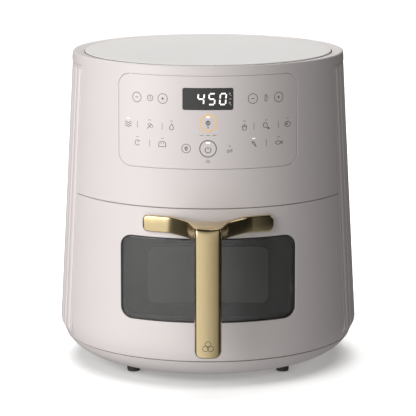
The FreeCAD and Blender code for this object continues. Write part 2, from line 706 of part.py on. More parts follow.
def bladed_fan(radius, hub, z0, z1, blades, plate_low, plate_high, lean):
    """Hub, back plate and leaning blades of a radial fan, with a shaft bore."""
    parts = [rod(hub, z0, z1), rod(radius, plate_low, plate_high)]
    blade = box(hub - 1, radius, -0.7, 0.7, z0, z1)
    blade.rotate(V(hub, 0, 0), V(0, 0, 1), lean)
    blade = blade.common(rod(radius, z0, z1))
    parts += [turned(blade, 360.0 * i / blades) for i in range(blades)]
    return join(parts).cut(rod(SHAFT_RADIUS, z0 - 1, z1 + 1))


def convection_fan():
    """Hot-air fan under the chamber's top."""
    return bladed_fan(FAN_RADIUS, 9.0, FAN_LOW, FAN_TOP, FAN_BLADES, FAN_TOP - 1.2, FAN_TOP, 25)


def cooling_fan():
    """Fan over the motor that cools the electronics."""
    low = COOLING_LOW
    return bladed_fan(COOLING_RADIUS, 9.0, low, COOLING_TOP, COOLING_BLADES, low, low + 1.5, -20)


def motor_shaft():
    """Shaft through both fans and the motor."""
    return rod(SHAFT_RADIUS, FAN_LOW - 4, COOLING_TOP + 2)


def motor_rotor():
    """Rotor core on the shaft."""
    return ring(SHAFT_RADIUS, 17.0, DECK_TOP + 6, MOTOR_TOP - 6)


def motor_deck():
    """Plastic deck that carries the motor and the power board, on four posts."""
    disc = body_form(SIDE_WALL + 2.0).common(sector(-180, 180, DECK_Z, DECK_TOP))
    x_front = LINER_HALF - 5.5
    x_back = LINER_HALF - 24.0
    posts = [(x_front, MOUTH_Y + 12), (x_back, 0.8 * BASKET_BACK)]
    legs = [rod(4.5, SHELF_TOP, DECK_Z, side * x, y) for x, y in posts for side in (-1, 1)]
    pegs = [rod(2.5, DECK_TOP, DECK_TOP + 5, x, y) for x, y in board_corners()]
    bore = rod(8.0 + RUN, DECK_Z - 1, DECK_TOP + 1)
    leads = heater_leads(SEAT)
    return join([disc] + legs + pegs).cut([bore] + leads)


def motor_housing():
    """Case of the motor with a bearing seat in each end."""
    case = rod(MOTOR_RADIUS, DECK_TOP, MOTOR_TOP)
    case = case.cut(rod(MOTOR_RADIUS - 1.5, DECK_TOP + 2.5, MOTOR_TOP - 2.5))
    return case.cut(rod(8.0 + SEAT / 2, DECK_TOP - 1, MOTOR_TOP + 1))


def motor_stator():
    """Laminated stator inside the motor case."""
    return ring(18.0, MOTOR_RADIUS - 1.5 - SEAT, DECK_TOP + 2.5, MOTOR_TOP - 2.5)


def motor_bearings():
    """Two sleeve bearings in the ends of the motor case."""
    pair = [ring(SHAFT_RADIUS + RUN, 8.0, z, z + 5.0) for z in (DECK_TOP - 2.5, MOTOR_TOP - 2.5)]
    return group(pair)


def cooling_shroud():
    """Wall round the cooling fan, open to the air outlet."""
    wall = ring(COOLING_RADIUS + 4, COOLING_RADIUS + 6, DECK_TOP, COOLING_TOP + 2)
    window = box(-30, 30, 0, FAR, DECK_TOP + 3, COOLING_LOW - 1)
    return wall.cut([window, turned(window, 90), turned(window, -90)])


def board_corners():
    """Corner pegs of the power board on the motor deck."""
    return [(x, y) for x in (-112.0, -76.0) for y in (-32.0, 32.0)]


def power_board():
    """Circuit board of the mains supply and the relays."""
    z0 = DECK_TOP + 5
    return box(-116, -72, -38, 38, z0, z0 + BOARD_THICK)


def board_components():
    """Relay, transformer, capacitor and terminals on the power board."""
    z0 = DECK_TOP + 5 + BOARD_THICK
    relay = box(-112, -98, -26, -6, z0, z0 + 15)
    transformer = box(-94, -78, -24, -4, z0, z0 + 14)
    terminals = box(-112, -104, 2, 28, z0, z0 + 9)
    capacitor = rod(6.0, z0, z0 + 18, -86.0, 14.0)
    return group([relay, transformer, terminals, capacitor])


def thermal_cutout():
    """Safety cut-out on top of the heat chamber."""
    z0 = CHAMBER_TOP
    return join([rod(8.0, z0, z0 + 4.5, -40, 48), box(-52, -28, 45, 51, z0, z0 + 0.8)])


def temperature_sensor():
    """Probe through the top of the heat chamber, with its flange."""
    probe = rod(PROBE_RADIUS, HEATER_Z - 3, CHAMBER_TOP + 3, probe_place(), probe_place())
    return join([probe, rod(5.0, CHAMBER_TOP, CHAMBER_TOP + 1.2, probe_place(), probe_place())])


# ---- drawer ----

def window_outline(grow):
    """Space of the drawer's window, grown all round."""
    return front_prism(WINDOW_HALF_WIDTH + grow, WINDOW_LOW - grow, WINDOW_TOP + grow, WINDOW_CORNER + grow)


def handle_screw_places():
    """Places (x, z) of the screws that hold the handle's arms."""
    return [(side * (ARM_REACH - 10), ARM_LOW + ARM_HEIGHT / 2) for side in (-1, 1)]


def arm_surface(x):
    """Y of the drawer front behind the handle's arms."""
    return -math.sqrt(wall_radius(ARM_LOW) ** 2 - x ** 2)


def drawer_front():
    """Curved front of the drawer with its top and bottom plates and the window's cut-out."""
    angle = FRONT_ANGLE - 0.2
    wall = band(0, WALL, -angle, angle, DRAWER_LOW, DRAWER_TOP)
    plates = []
    for z0 in (DRAWER_LOW, DRAWER_TOP - WALL):
        plate = body_form(WALL / 2).common(sector(-angle, angle, z0, z0 + WALL))
        plates.append(plate.common(box(-FAR, FAR, -FAR, BACK_WALL_Y, 0, HEIGHT)))
    holes = [rod_y(SCREW_RADIUS + RUN, -FAR, 0, x, z) for x, z in handle_screw_places()]
    return join([wall] + plates).cut([window_outline(0)] + holes)


def window_bezel():
    """Thin dark border round the window."""
    rim = window_outline(-0.05).cut(window_outline(-WINDOW_BORDER))
    return rim.common(body_form(0.1).cut(body_form(WALL)))


def drawer_window():
    """Smoked curved glass of the drawer."""
    glass = body_form(WINDOW_RECESS).cut(body_form(WALL))
    return glass.common(window_outline(-WINDOW_BORDER - 0.1))


def window_retainer():
    """Frame behind the glass that holds it to the drawer front."""
    frame = window_outline(RETAINER_OUT).cut(window_outline(-RETAINER_IN))
    return frame.common(body_form(WALL + SEAT).cut(body_form(WALL + SEAT + RETAINER_THICK)))


def basket_hole(grow, y0, y1):
    """Cross-section of the basket in the drawer's back panel, grown all round."""
    half = BASKET_HALF_WIDTH + BASKET_FLANGE + grow
    return box(-half, half, y0, y1, BASKET_FLOOR - grow, BASKET_RIM + grow)


def drawer_back_panel():
    """Flat panel that closes the drawer front from behind, round the basket."""
    y1 = BACK_WALL_Y
    slab = box(-FAR, FAR, y1 - WALL, y1, DRAWER_LOW + WALL, DRAWER_TOP - WALL)
    inside = body_form(WALL + 0.15).common(sector(-FRONT_ANGLE + 1, FRONT_ANGLE - 1, 0, HEIGHT))
    return slab.common(inside).cut(basket_hole(0.3, -FAR, FAR))


def basket():
    """Deep metal basket with a rolled-out rim and a window opening in its front wall."""
    z0 = BASKET_FLOOR
    z1 = BASKET_RIM
    outer = plan_prism(BASKET_HALF_WIDTH, BASKET_FRONT, BASKET_BACK, BASKET_CORNER, z0, z1)
    inner = plan_prism(BASKET_HALF_WIDTH - BASKET_WALL, BASKET_FRONT + BASKET_WALL, BASKET_BACK - BASKET_WALL,
                       BASKET_CORNER - BASKET_WALL, z0 + BASKET_WALL, z1 + 1)
    f = BASKET_FLANGE
    rim = plan_prism(BASKET_HALF_WIDTH + f, BASKET_FRONT - f, BASKET_BACK + f, BASKET_CORNER + f,
                     z1 - BASKET_WALL, z1)
    window = front_prism(PANE_HALF_WIDTH - 3, PANE_LOW + 3, PANE_TOP - 3, PANE_CORNER - 3, -FAR, 0)
    return join([outer, rim]).cut([inner, window])


def basket_mount():
    """Two blocks that join the basket's front wall to the drawer's bottom plate."""
    y0 = BASKET_FRONT + 8
    block = box(24, 44, y0, y0 + 22, DRAWER_LOW + WALL, BASKET_FLOOR)
    return group([block, mirrored(block)])


def pane_outline(grow, y0, y1):
    """Outline of the basket's window, grown all round."""
    return front_prism(PANE_HALF_WIDTH + grow, PANE_LOW - grow, PANE_TOP + grow, PANE_CORNER + grow, y0, y1)


def basket_window_gasket():
    """Silicone ring between the basket and its window."""
    y1 = BASKET_FRONT
    return pane_outline(2.0, y1 - 1.2, y1).cut(pane_outline(-3.0, y1 - 2, y1 + 1))


def basket_window():
    """Glass pane in front of the basket's opening."""
    y1 = BASKET_FRONT - 1.2
    return pane_outline(1.5, y1 - PANE_THICK, y1)


def crisper_plate():
    """Perforated plate that stands above the basket's floor."""
    e = BASKET_WALL + CRISPER_EDGE
    y0 = BASKET_FRONT + e
    y1 = BASKET_BACK - e
    half = BASKET_HALF_WIDTH - e
    plate = plan_prism(half, y0, y1, BASKET_CORNER - e, CRISPER_Z, CRISPER_Z + CRISPER_THICK)
    middle = 0.5 * (y0 + y1)
    count = int((half - HOLE_RADIUS - 6) / HOLE_PITCH)
    holes = []
    for i in range(-count, count + 1):
        for j in range(-count, count + 1):
            x = i * HOLE_PITCH
            y = j * HOLE_PITCH
            over_x = max(abs(x) - half + BASKET_CORNER, 0)
            over_y = max(abs(y) - half + BASKET_CORNER, 0)
            corner = math.hypot(over_x, over_y)
            leg = min(math.hypot(x - lx, y + middle - ly) for lx, ly in bumper_places())
            if corner < BASKET_CORNER - HOLE_RADIUS - 5 and leg > HOLE_RADIUS + 7:
                holes.append(rod(HOLE_RADIUS, CRISPER_Z - 1, CRISPER_Z + CRISPER_THICK + 1, x, y + middle))
    return plate.cut(holes)


def bumper_places():
    """Places of the crisper plate's four feet."""
    middle = 0.5 * (BASKET_FRONT + BASKET_BACK)
    reach = BASKET_HALF_WIDTH - 34
    return [(sx * reach, middle + sy * reach) for sx in (-1, 1) for sy in (-1, 1)]


def crisper_bumpers():
    """Four silicone feet under the crisper plate."""
    low = BASKET_FLOOR + BASKET_WALL + 0.3
    return group([rod(5.0, low, CRISPER_Z, x, y) for x, y in bumper_places()])


def on_front(x, radius):
    """Point at the given x on a circle about the body axis, at the level of the handle's arms."""
    return V(x, -math.sqrt(radius ** 2 - x ** 2), ARM_LOW)


def smooth_curve(points, directions):
    """Curve through points, with a direction at each."""
    curve = Part.BSplineCurve()
    curve.interpolate(Points=points, Tangents=directions, TangentFlags=[True] * len(points))
    return curve.toShape()


def handle_half():
    """Right half of the handle's arms and neck, as a prism on its plan."""
    inside = wall_radius(ARM_LOW) + 0.1
    outside = inside + ARM_THICK
    inner_end = on_front(ARM_REACH, inside)
    outer_end = on_front(ARM_REACH, outside)
    outer_leave = on_front(ARM_LEAVE + 2.0, outside)
    inner_leave = on_front(ARM_LEAVE, inside)
    neck_front = V(GRIP_HALF_WIDTH, -GRIP_FRONT + GRIP_THICK, ARM_LOW)
    neck_back = V(0, -NECK_BACK, ARM_LOW)
    bend = V(24.5, -0.5 * (NECK_BACK + outside) - 5.5, ARM_LOW)
    inner_bend = V(19.0, -0.5 * (NECK_BACK + inside) - 3.6, ARM_LOW)
    along = V(-outer_leave.y, outer_leave.x, 0).normalize()
    sweep = smooth_curve([outer_leave, bend, neck_front], [along * -12, V(-5, -14, 0), V(-1, -14, 0)])
    inner = smooth_curve([neck_back, inner_bend, inner_leave], [V(12, 0, 0), V(11, 11.5, 0), along * 14.7])
    front_mid = V(0, neck_front.y, ARM_LOW)
    outer_mid = on_front(0.5 * (outer_end.x + outer_leave.x), outside)
    inner_mid = on_front(0.5 * (inner_end.x + inner_leave.x), inside)
    edges = [Part.LineSegment(inner_end, outer_end).toShape(),
             Part.Arc(outer_end, outer_mid, outer_leave).toShape(), sweep,
             Part.LineSegment(neck_front, front_mid).toShape(),
             Part.LineSegment(front_mid, neck_back).toShape(), inner,
             Part.Arc(inner_leave, inner_mid, inner_end).toShape()]
    return Part.Face(Part.Wire(edges)).extrude(V(0, 0, ARM_HEIGHT))


def handle():
    """T-shaped handle: two arms on the drawer front, a neck and a flat upright grip."""
    half = handle_half()
    grip = front_prism(GRIP_HALF_WIDTH, GRIP_LOW, ARM_TOP, GRIP_CORNER, -GRIP_FRONT, -GRIP_FRONT + GRIP_THICK)
    shoulder = box(-GRIP_HALF_WIDTH, GRIP_HALF_WIDTH, -GRIP_FRONT + 1, -GRIP_FRONT + GRIP_THICK, ARM_LOW + 2,
                   ARM_TOP - GRIP_CORNER)
    whole = join([half, mirrored(half), grip, shoulder])
    holes = [rod_y(SCREW_RADIUS, arm_surface(abs(x)) - 2.5, 0, x, z) for x, z in handle_screw_places()]
    return whole.cut(holes)


def handle_screws():
    """Two screws from inside the drawer front into the handle's arms."""
    screws = []
    for x, z in handle_screw_places():
        seat = arm_surface(abs(x) - HEAD_RADIUS) + WALL + 1.5
        inner = -math.sqrt(wall_radius(ARM_LOW, WALL) ** 2 - (abs(x) + HEAD_RADIUS) ** 2)
        seat = max(seat, inner + 0.3)
        screws.append(screw_y(x, z, arm_surface(abs(x)) - 2.0, seat, 1))
    return group(screws)


# ---- all nodes ----

NODES = {
    "upper_housing": upper_housing,
    "top_cover": top_cover,
    "control_panel": control_panel,
    "display_window": display_window,
    "display_module": display_module,
    "control_board": control_board,
    "touch_pads": touch_pads,
    "side_panel_right": side_panel,
    "side_panel_left": lambda: mirrored(side_panel()),
    "rear_cover": rear_cover,
    "cover_screws": cover_screws,
    "air_outlet_grille": air_outlet_grille,
    "cord_gland": cord_gland,
    "base_shell": base_shell,
    "base_deck": base_deck,
    "feet": feet,
    "foot_screws": foot_screws,
    "cavity_liner": cavity_liner,
    "front_frame": front_frame,
    "slide_rails": slide_rails,
    "lamp_lens": lamp_lens,
    "lamp_housing": lamp_housing,
    "cavity_lamp": cavity_lamp,
    "interlock_switch": interlock_switch,
    "interlock_plunger": interlock_plunger,
    "heat_chamber": heat_chamber,
    "heater_coil": heater_coil,
    "heater_brackets": heater_brackets,
    "heater_guard": heater_guard,
    "convection_fan": convection_fan,
    "cooling_fan": cooling_fan,
    "motor_shaft": motor_shaft,
    "motor_rotor": motor_rotor,
    "motor_deck": motor_deck,
    "motor_housing": motor_housing,
    "motor_stator": motor_stator,
    "motor_bearings": motor_bearings,
    "cooling_shroud": cooling_shroud,
    "power_board": power_board,
    "board_components": board_components,
    "thermal_cutout": thermal_cutout,
    "temperature_sensor": temperature_sensor,
    "drawer_front": drawer_front,
    "window_bezel": window_bezel,
    "drawer_window": drawer_window,
    "window_retainer": window_retainer,
    "drawer_back_panel": drawer_back_panel,
    "basket": basket,
    "basket_mount": basket_mount,
    "basket_window_gasket": basket_window_gasket,
    "basket_window": basket_window,
    "crisper_plate": crisper_plate,
    "crisper_bumpers": crisper_bumpers,
    "handle": handle,
    "handle_screws": handle_screws,
}

os.makedirs("parts", exist_ok=True)
for name, build in NODES.items():
    shape = build()
    shape.exportStep("parts/" + name + ".step")
    print(name, len(shape.Solids), shape.isValid(), round(shape.Volume, 1))
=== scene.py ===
"""Looks of a round air fryer with a touch panel, a windowed drawer and a gold handle.

Metres, +Z up, the front towards -Y.
"""

import logging
import math
from dataclasses import dataclass, field
from enum import Enum
from typing import Callable, Iterable, Sequence

import bmesh
import bpy
import numpy as np
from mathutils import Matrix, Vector
from mathutils.geometry import delaunay_2d_cdt


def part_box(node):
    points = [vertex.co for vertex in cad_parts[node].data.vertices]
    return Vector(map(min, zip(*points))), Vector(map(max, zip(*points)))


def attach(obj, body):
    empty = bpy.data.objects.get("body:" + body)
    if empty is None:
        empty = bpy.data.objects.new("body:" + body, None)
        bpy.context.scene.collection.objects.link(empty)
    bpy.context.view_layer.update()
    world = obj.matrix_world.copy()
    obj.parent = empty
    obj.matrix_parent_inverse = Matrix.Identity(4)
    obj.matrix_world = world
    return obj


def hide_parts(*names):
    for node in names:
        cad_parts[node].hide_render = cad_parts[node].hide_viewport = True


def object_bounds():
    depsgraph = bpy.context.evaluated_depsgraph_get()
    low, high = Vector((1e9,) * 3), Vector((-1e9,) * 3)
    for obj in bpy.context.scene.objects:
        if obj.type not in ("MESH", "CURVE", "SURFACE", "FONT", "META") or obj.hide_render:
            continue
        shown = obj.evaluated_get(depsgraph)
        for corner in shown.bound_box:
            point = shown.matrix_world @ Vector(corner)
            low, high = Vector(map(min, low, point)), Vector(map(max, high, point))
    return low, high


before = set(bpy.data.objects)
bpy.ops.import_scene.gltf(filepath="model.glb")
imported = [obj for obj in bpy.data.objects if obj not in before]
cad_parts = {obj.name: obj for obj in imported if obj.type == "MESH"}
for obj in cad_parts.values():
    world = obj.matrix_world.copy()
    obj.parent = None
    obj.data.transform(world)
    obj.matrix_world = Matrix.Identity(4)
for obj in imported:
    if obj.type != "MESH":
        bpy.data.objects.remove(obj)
CAD_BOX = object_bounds()
LOG = logging.getLogger("air_fryer")
MM = 0.001
# How much the wall's radius grows for each metre down, and its lean from upright.
SPLAY = 0.0556
SLOPE = math.atan(SPLAY)
# Radius that turns an angle about the axis into a length along the wall.
UNROLL = 0.14
# How much higher the display and the panel's lower edge lie than their nodes.
PANEL_RISE = 0.8 * MM
# Divisions of a quarter turn on the handle's rounded edges.
QUARTER = [math.radians(angle) for angle in (0, 22.5, 45, 67.5, 90)]
Point2 = tuple[float, float]
Colour = tuple[float, float, float]


# ---- shader expressions ----

class Value:
    """A node's output that Python operators turn into Math nodes."""

    def __init__(self, net: "Net", socket: bpy.types.NodeSocket) -> None:
        """Keeps the socket and the net that new nodes go into."""
        self.net = net
        self.socket = socket

    def math(self, operation: str, *operands: object) -> "Value":
        """Adds one Math node.

        Args:
            operation: name of the Math operation.
            operands: its operands in order, numbers or Values.

        Returns:
            The node's output.
        """
        node = self.net.node("ShaderNodeMath", {"operation": operation}, dict(enumerate(operands)))
        return Value(self.net, node.outputs[0])

    def __add__(self, other: object) -> "Value":
        """Sum."""
        return self.math("ADD", self, other)

    __radd__ = __add__

    def __mul__(self, other: object) -> "Value":
        """Product."""
        return self.math("MULTIPLY", self, other)

    __rmul__ = __mul__

    def __sub__(self, other: object) -> "Value":
        """Difference."""
        return self.math("SUBTRACT", self, other)

    def __rsub__(self, other: object) -> "Value":
        """Difference with the number first."""
        return self.math("SUBTRACT", other, self)

    def step(self, low: float, high: float) -> "Value":
        """Smooth rise from 0 to 1.

        Args:
            low: level up to which it is 0.
            high: level from which it is 1.

        Returns:
            The smoothed share.
        """
        node = self.net.node("ShaderNodeMapRange", {"interpolation_type": "SMOOTHSTEP"},
                             {"Value": self, "From Min": low, "From Max": high})
        return Value(self.net, node.outputs[0])


class Net:
    """One material's node tree, with its Principled shader ready."""

    def __init__(self, name: str) -> None:
        """Makes an empty node material.

        Args:
            name: name of the material.
        """
        self.material = bpy.data.materials.new(name)
        self.material.use_nodes = True
        self.tree = self.material.node_tree
        self.tree.nodes.clear()
        self.output = self.node("ShaderNodeOutputMaterial")
        self.shader = self.node("ShaderNodeBsdfPrincipled")
        self.tree.links.new(self.shader.outputs[0], self.output.inputs["Surface"])

    def node(self, kind: str, settings: dict | None = None, inputs: dict | None = None) -> bpy.types.Node:
        """Adds a node.

        Args:
            kind: the node's type.
            settings: properties set first; "stops" are a ramp's (place, grey or colour) pairs.
            inputs: values or links of its sockets, by name or number.

        Returns:
            The new node.
        """
        node = self.tree.nodes.new(kind)
        for key, value in (settings or {}).items():
            if key == "stops":
                self.set_stops(node.color_ramp, value)
            else:
                setattr(node, key, value)
        for key, value in (inputs or {}).items():
            self.feed(node.inputs[key], value)
        return node

    def feed(self, socket: bpy.types.NodeSocket, value: object) -> None:
        """Links or sets one socket.

        Args:
            socket: the input to feed.
            value: a Value, another node's output or a plain value.
        """
        if isinstance(value, Value):
            self.tree.links.new(value.socket, socket)
        elif isinstance(value, bpy.types.NodeSocket):
            self.tree.links.new(value, socket)
        else:
            socket.default_value = value

    @staticmethod
    def set_stops(ramp: bpy.types.ColorRamp, stops: Sequence[tuple]) -> None:
        """Puts a ramp's stops in place.

        Args:
            ramp: the ramp to fill.
            stops: (place, grey or colour) pairs in order.
        """
        while len(ramp.elements) < len(stops):
            ramp.elements.new(1.0)
        for element, (place, colour) in zip(ramp.elements, stops):
            element.position = place
            element.color = rgba(colour)

    def coordinates(self, stretch: Sequence[float] = (1.0, 1.0, 1.0)) -> bpy.types.NodeSocket:
        """Object coordinates in metres.

        Args:
            stretch: what each axis is multiplied by.

        Returns:
            The stretched coordinates.
        """
        place = self.node("ShaderNodeTexCoord").outputs["Object"]
        node = self.node("ShaderNodeVectorMath", {"operation": "MULTIPLY"}, {0: place, 1: tuple(stretch)})
        return node.outputs[0]

    def noise(self, scale: float, detail: float = 2.0, stretch: Sequence[float] = (1, 1, 1)) -> Value:
        """Noise from 0 to 1.

        Args:
            scale: features to the metre.
            detail: octaves added to the first.
            stretch: what each axis is multiplied by.

        Returns:
            The noise.
        """
        place = self.coordinates(stretch)
        node = self.node("ShaderNodeTexNoise", None,
                         {"Vector": place, "Scale": scale, "Detail": detail, "Roughness": 0.55})
        return Value(self, node.outputs["Fac"])

    def axis(self, name: str) -> Value:
        """One object coordinate, X, Y or Z, in metres."""
        node = self.node("ShaderNodeSeparateXYZ", None, {0: self.coordinates()})
        return Value(self, node.outputs[name])

    def level_lines(self) -> Value:
        """Level lines half a millimetre apart."""
        height = self.axis("Z") * (2 * math.pi / (0.5 * MM))
        return height.math("SINE", height) * 0.5 + 0.5

    def blend(self, factor: Value, first: object, second: object) -> bpy.types.NodeSocket:
        """Colour between two colours.

        Args:
            factor: share of the second.
            first: a colour or a link.
            second: a colour or a link.

        Returns:
            The mixed colour.
        """
        node = self.node("ShaderNodeMix", {"data_type": "RGBA"},
                         {0: factor, 6: colour_in(first), 7: colour_in(second)})
        return node.outputs[2]

    def bump(self, height: Value, depth: float) -> bpy.types.NodeSocket:
        """Normal of a relief that many metres deep."""
        node = self.node("ShaderNodeBump", None, {"Height": height, "Distance": depth, "Strength": 1.0})
        return node.outputs["Normal"]

    def surface(self, **sockets: object) -> bpy.types.Material:
        """Sets the Principled shader's sockets, named with _ for a space.

        Args:
            sockets: values or links by socket name.

        Returns:
            The finished material.
        """
        for name, value in sockets.items():
            self.feed(self.shader.inputs[name.replace("_", " ")], value)
        return self.material


class WorldNet(Net):
    """The node tree of the surroundings."""

    def __init__(self, world: bpy.types.World) -> None:
        """Empties the world's node tree.

        Args:
            world: the surroundings to shade.
        """
        world.use_nodes = True
        self.tree = world.node_tree
        self.tree.nodes.clear()


def rgba(colour: object) -> tuple[float, float, float, float]:
    """Four colour numbers.

    Args:
        colour: a grey or a colour.

    Returns:
        Red, green, blue and full alpha.
    """
    if isinstance(colour, (int, float)):
        return (colour, colour, colour, 1.0)
    return (*tuple(colour)[:3], 1.0)


def colour_in(colour: object) -> object:
    """A link as it is, or a colour as four numbers."""
    return colour if isinstance(colour, (Value, bpy.types.NodeSocket)) else rgba(colour)


def scaled(colour: Sequence[float], share: float) -> tuple[float, ...]:
    """A colour with its numbers scaled."""
    return tuple(c * share for c in colour)


# ---- finishes ----

@dataclass(frozen=True)
class MouldedPlastic:
    """Injection-moulded plastic with a spark-eroded texture."""

    name: str
    colour: Colour
    roughness: float = 0.42
    grain: float = 1400.0
    relief: float = 0.012 * MM
    mottle: float = 0.03

    def make(self) -> bpy.types.Material:
        """Fine grain, faint cloudy tone and patches of different gloss.

        Returns:
            The finished material.
        """
        net = Net(self.name)
        cloud = net.noise(14.0, 3.0)
        grain = net.noise(self.grain, 2.0)
        dull, bright = scaled(self.colour, 1.0 - self.mottle), scaled(self.colour, 1.0 + self.mottle * 0.4)
        tone = net.blend(cloud, dull, bright)
        rough = self.roughness - 0.05 + 0.1 * net.noise(40.0, 2.0)
        return net.surface(Base_Color=tone, Roughness=rough, Normal=net.bump(grain, self.relief),
                           Specular_IOR_Level=0.45)


@dataclass(frozen=True)
class BrushedGold:
    """Champagne-gold metal brushed along the upright."""

    name: str = "brushed_gold"
    colour: Colour = (0.64, 0.5, 0.26)
    worn: Colour = (0.74, 0.61, 0.37)
    roughness: float = 0.21

    def make(self) -> bpy.types.Material:
        """Hairlines in tone, roughness and relief, with faint handling marks.

        Returns:
            The finished material.
        """
        net = Net(self.name)
        hairline = net.noise(2600.0, 2.0, (1.0, 1.0, 0.02))
        smudge = net.noise(38.0, 3.0)
        tone = net.blend(hairline * 0.7 + smudge * 0.3, self.colour, self.worn)
        rough = self.roughness - 0.05 + 0.08 * hairline + 0.06 * smudge
        return net.surface(Base_Color=tone, Metallic=1.0, Roughness=rough,
                           Normal=net.bump(hairline, 0.006 * MM))


@dataclass(frozen=True)
class Metal:
    """Sheet, bar or turned metal, brushed or rolled one way."""

    name: str
    colour: Colour
    roughness: float = 0.32
    stretch: tuple[float, float, float] = (1.0, 0.03, 1.0)
    tint: Colour | None = None

    def make(self) -> bpy.types.Material:
        """Rolling lines, cloudy oxide and fine scratches.

        Returns:
            The finished material.
        """
        net = Net(self.name)
        lines = net.noise(1500.0, 2.0, self.stretch)
        oxide = net.noise(55.0, 4.0)
        tone = net.blend(oxide.step(0.35, 0.75), self.colour, self.tint or scaled(self.colour, 0.82))
        rough = self.roughness - 0.06 + 0.12 * lines + 0.08 * oxide
        return net.surface(Base_Color=tone, Metallic=1.0, Roughness=rough, Normal=net.bump(lines, 0.008 * MM))


@dataclass(frozen=True)
class Coating:
    """Dark speckled non-stick coating on sheet metal."""

    name: str = "nonstick_coating"
    colour: Colour = (0.045, 0.045, 0.047)
    speckle: Colour = (0.16, 0.16, 0.165)

    def make(self) -> bpy.types.Material:
        """Sparse pale flecks in a dark satin film with orange-peel relief.

        Returns:
            The finished material.
        """
        net = Net(self.name)
        fleck = net.noise(1900.0, 1.0).step(0.66, 0.72)
        peel = net.noise(420.0, 2.0)
        tone = net.blend(fleck, self.colour, self.speckle)
        rough = 0.34 + 0.12 * net.noise(60.0, 3.0)
        return net.surface(Base_Color=tone, Roughness=rough, Metallic=0.15,
                           Normal=net.bump(peel, 0.015 * MM))


@dataclass(frozen=True)
class Glass:
    """Glass pane, clear or smoked, with faint smears."""

    name: str
    colour: Colour
    roughness: float = 0.03
    ior: float = 1.47
    film: float = 0.0
    film_colour: Colour = (0.2, 0.2, 0.2)

    def make(self) -> bpy.types.Material:
        """Transmitting body under a thin film of tint, with smears in its gloss.

        Returns:
            The finished material.
        """
        net = Net(self.name)
        smear = net.noise(30.0, 3.0, (1.0, 1.0, 0.4))
        rough = self.roughness + 0.05 * smear.step(0.5, 0.8)
        glass = net.surface(Base_Color=rgba(self.colour), Roughness=rough, Transmission_Weight=1.0,
                            IOR=self.ior)
        if self.film:
            dull = net.node("ShaderNodeBsdfPrincipled", None,
                            {"Base Color": rgba(self.film_colour), "Roughness": 0.08})
            share = self.film - 0.04 + 0.08 * smear
            mix = net.node("ShaderNodeMixShader", None,
                           {0: share, 1: net.shader.outputs[0], 2: dull.outputs[0]})
            net.tree.links.new(mix.outputs[0], net.output.inputs["Surface"])
        return glass


@dataclass(frozen=True)
class Rubber:
    """Matt rubber or silicone."""

    name: str
    colour: Colour
    roughness: float = 0.7

    def make(self) -> bpy.types.Material:
        """Powdery bloom over a fine mould texture.

        Returns:
            The finished material.
        """
        net = Net(self.name)
        bloom = net.noise(90.0, 3.0)
        tone = net.blend(bloom, self.colour, scaled(self.colour, 1.6))
        return net.surface(Base_Color=tone, Roughness=self.roughness + 0.12 * bloom,
                           Normal=net.bump(net.noise(1200.0), 0.02 * MM), Specular_IOR_Level=0.35)


@dataclass(frozen=True)
class Board:
    """Circuit board with copper tracks under green lacquer."""

    name: str = "board_lacquer"

    def make(self) -> bpy.types.Material:
        """Tracks from stretched cells, lighter than the lacquer between them.

        Returns:
            The finished material.
        """
        net = Net(self.name)
        cells = net.node("ShaderNodeTexVoronoi", {"distance": "CHEBYCHEV", "feature": "DISTANCE_TO_EDGE"},
                         {"Vector": net.coordinates((1.0, 1.0, 0.6)), "Scale": 170.0})
        track = 1 - Value(net, cells.outputs[0]).step(0.04, 0.07)
        tone = net.blend(track, (0.012, 0.1, 0.035), (0.05, 0.24, 0.09))
        return net.surface(Base_Color=tone, Roughness=0.3 + 0.1 * track, Normal=net.bump(track, 0.03 * MM))


@dataclass(frozen=True)
class Ink:
    """Printed marks in a flat pad ink."""

    name: str
    colour: Colour
    roughness: float = 0.5

    def make(self) -> bpy.types.Material:
        """Ink a little uneven in tone, as pad printing leaves it.

        Returns:
            The finished material.
        """
        net = Net(self.name)
        grain = net.noise(2200.0, 2.0)
        tone = net.blend(grain, self.colour, scaled(self.colour, 1.12))
        return net.surface(Base_Color=tone, Roughness=self.roughness + 0.06 * grain)


@dataclass(frozen=True)
class Glow:
    """Lit segment or indicator behind a diffuser."""

    name: str
    colour: Colour
    power: float = 1.0

    def make(self) -> bpy.types.Material:
        """Light with the slight unevenness of a small diffuser.

        Returns:
            The finished material.
        """
        net = Net(self.name)
        haze = net.noise(700.0, 2.0)
        light = net.blend(haze, self.colour, scaled(self.colour, 0.86))
        return net.surface(Base_Color=rgba(scaled(self.colour, 0.5)), Emission_Color=light,
                           Emission_Strength=self.power, Roughness=0.4 + 0.1 * haze)


@dataclass(frozen=True)
class Laminate:
    """Stack of thin varnished steel sheets."""

    name: str = "varnished_laminations"

    def make(self) -> bpy.types.Material:
        """Fine level lines of the sheets' edges under varnish.

        Returns:
            The finished material.
        """
        net = Net(self.name)
        lines = net.level_lines()
        tone = net.blend(lines, (0.09, 0.09, 0.1), (0.3, 0.3, 0.32))
        return net.surface(Base_Color=tone, Metallic=0.8, Roughness=0.35 + 0.15 * lines,
                           Normal=net.bump(lines, 0.05 * MM))


BODY_COLOUR: Colour = (0.8, 0.74, 0.725)
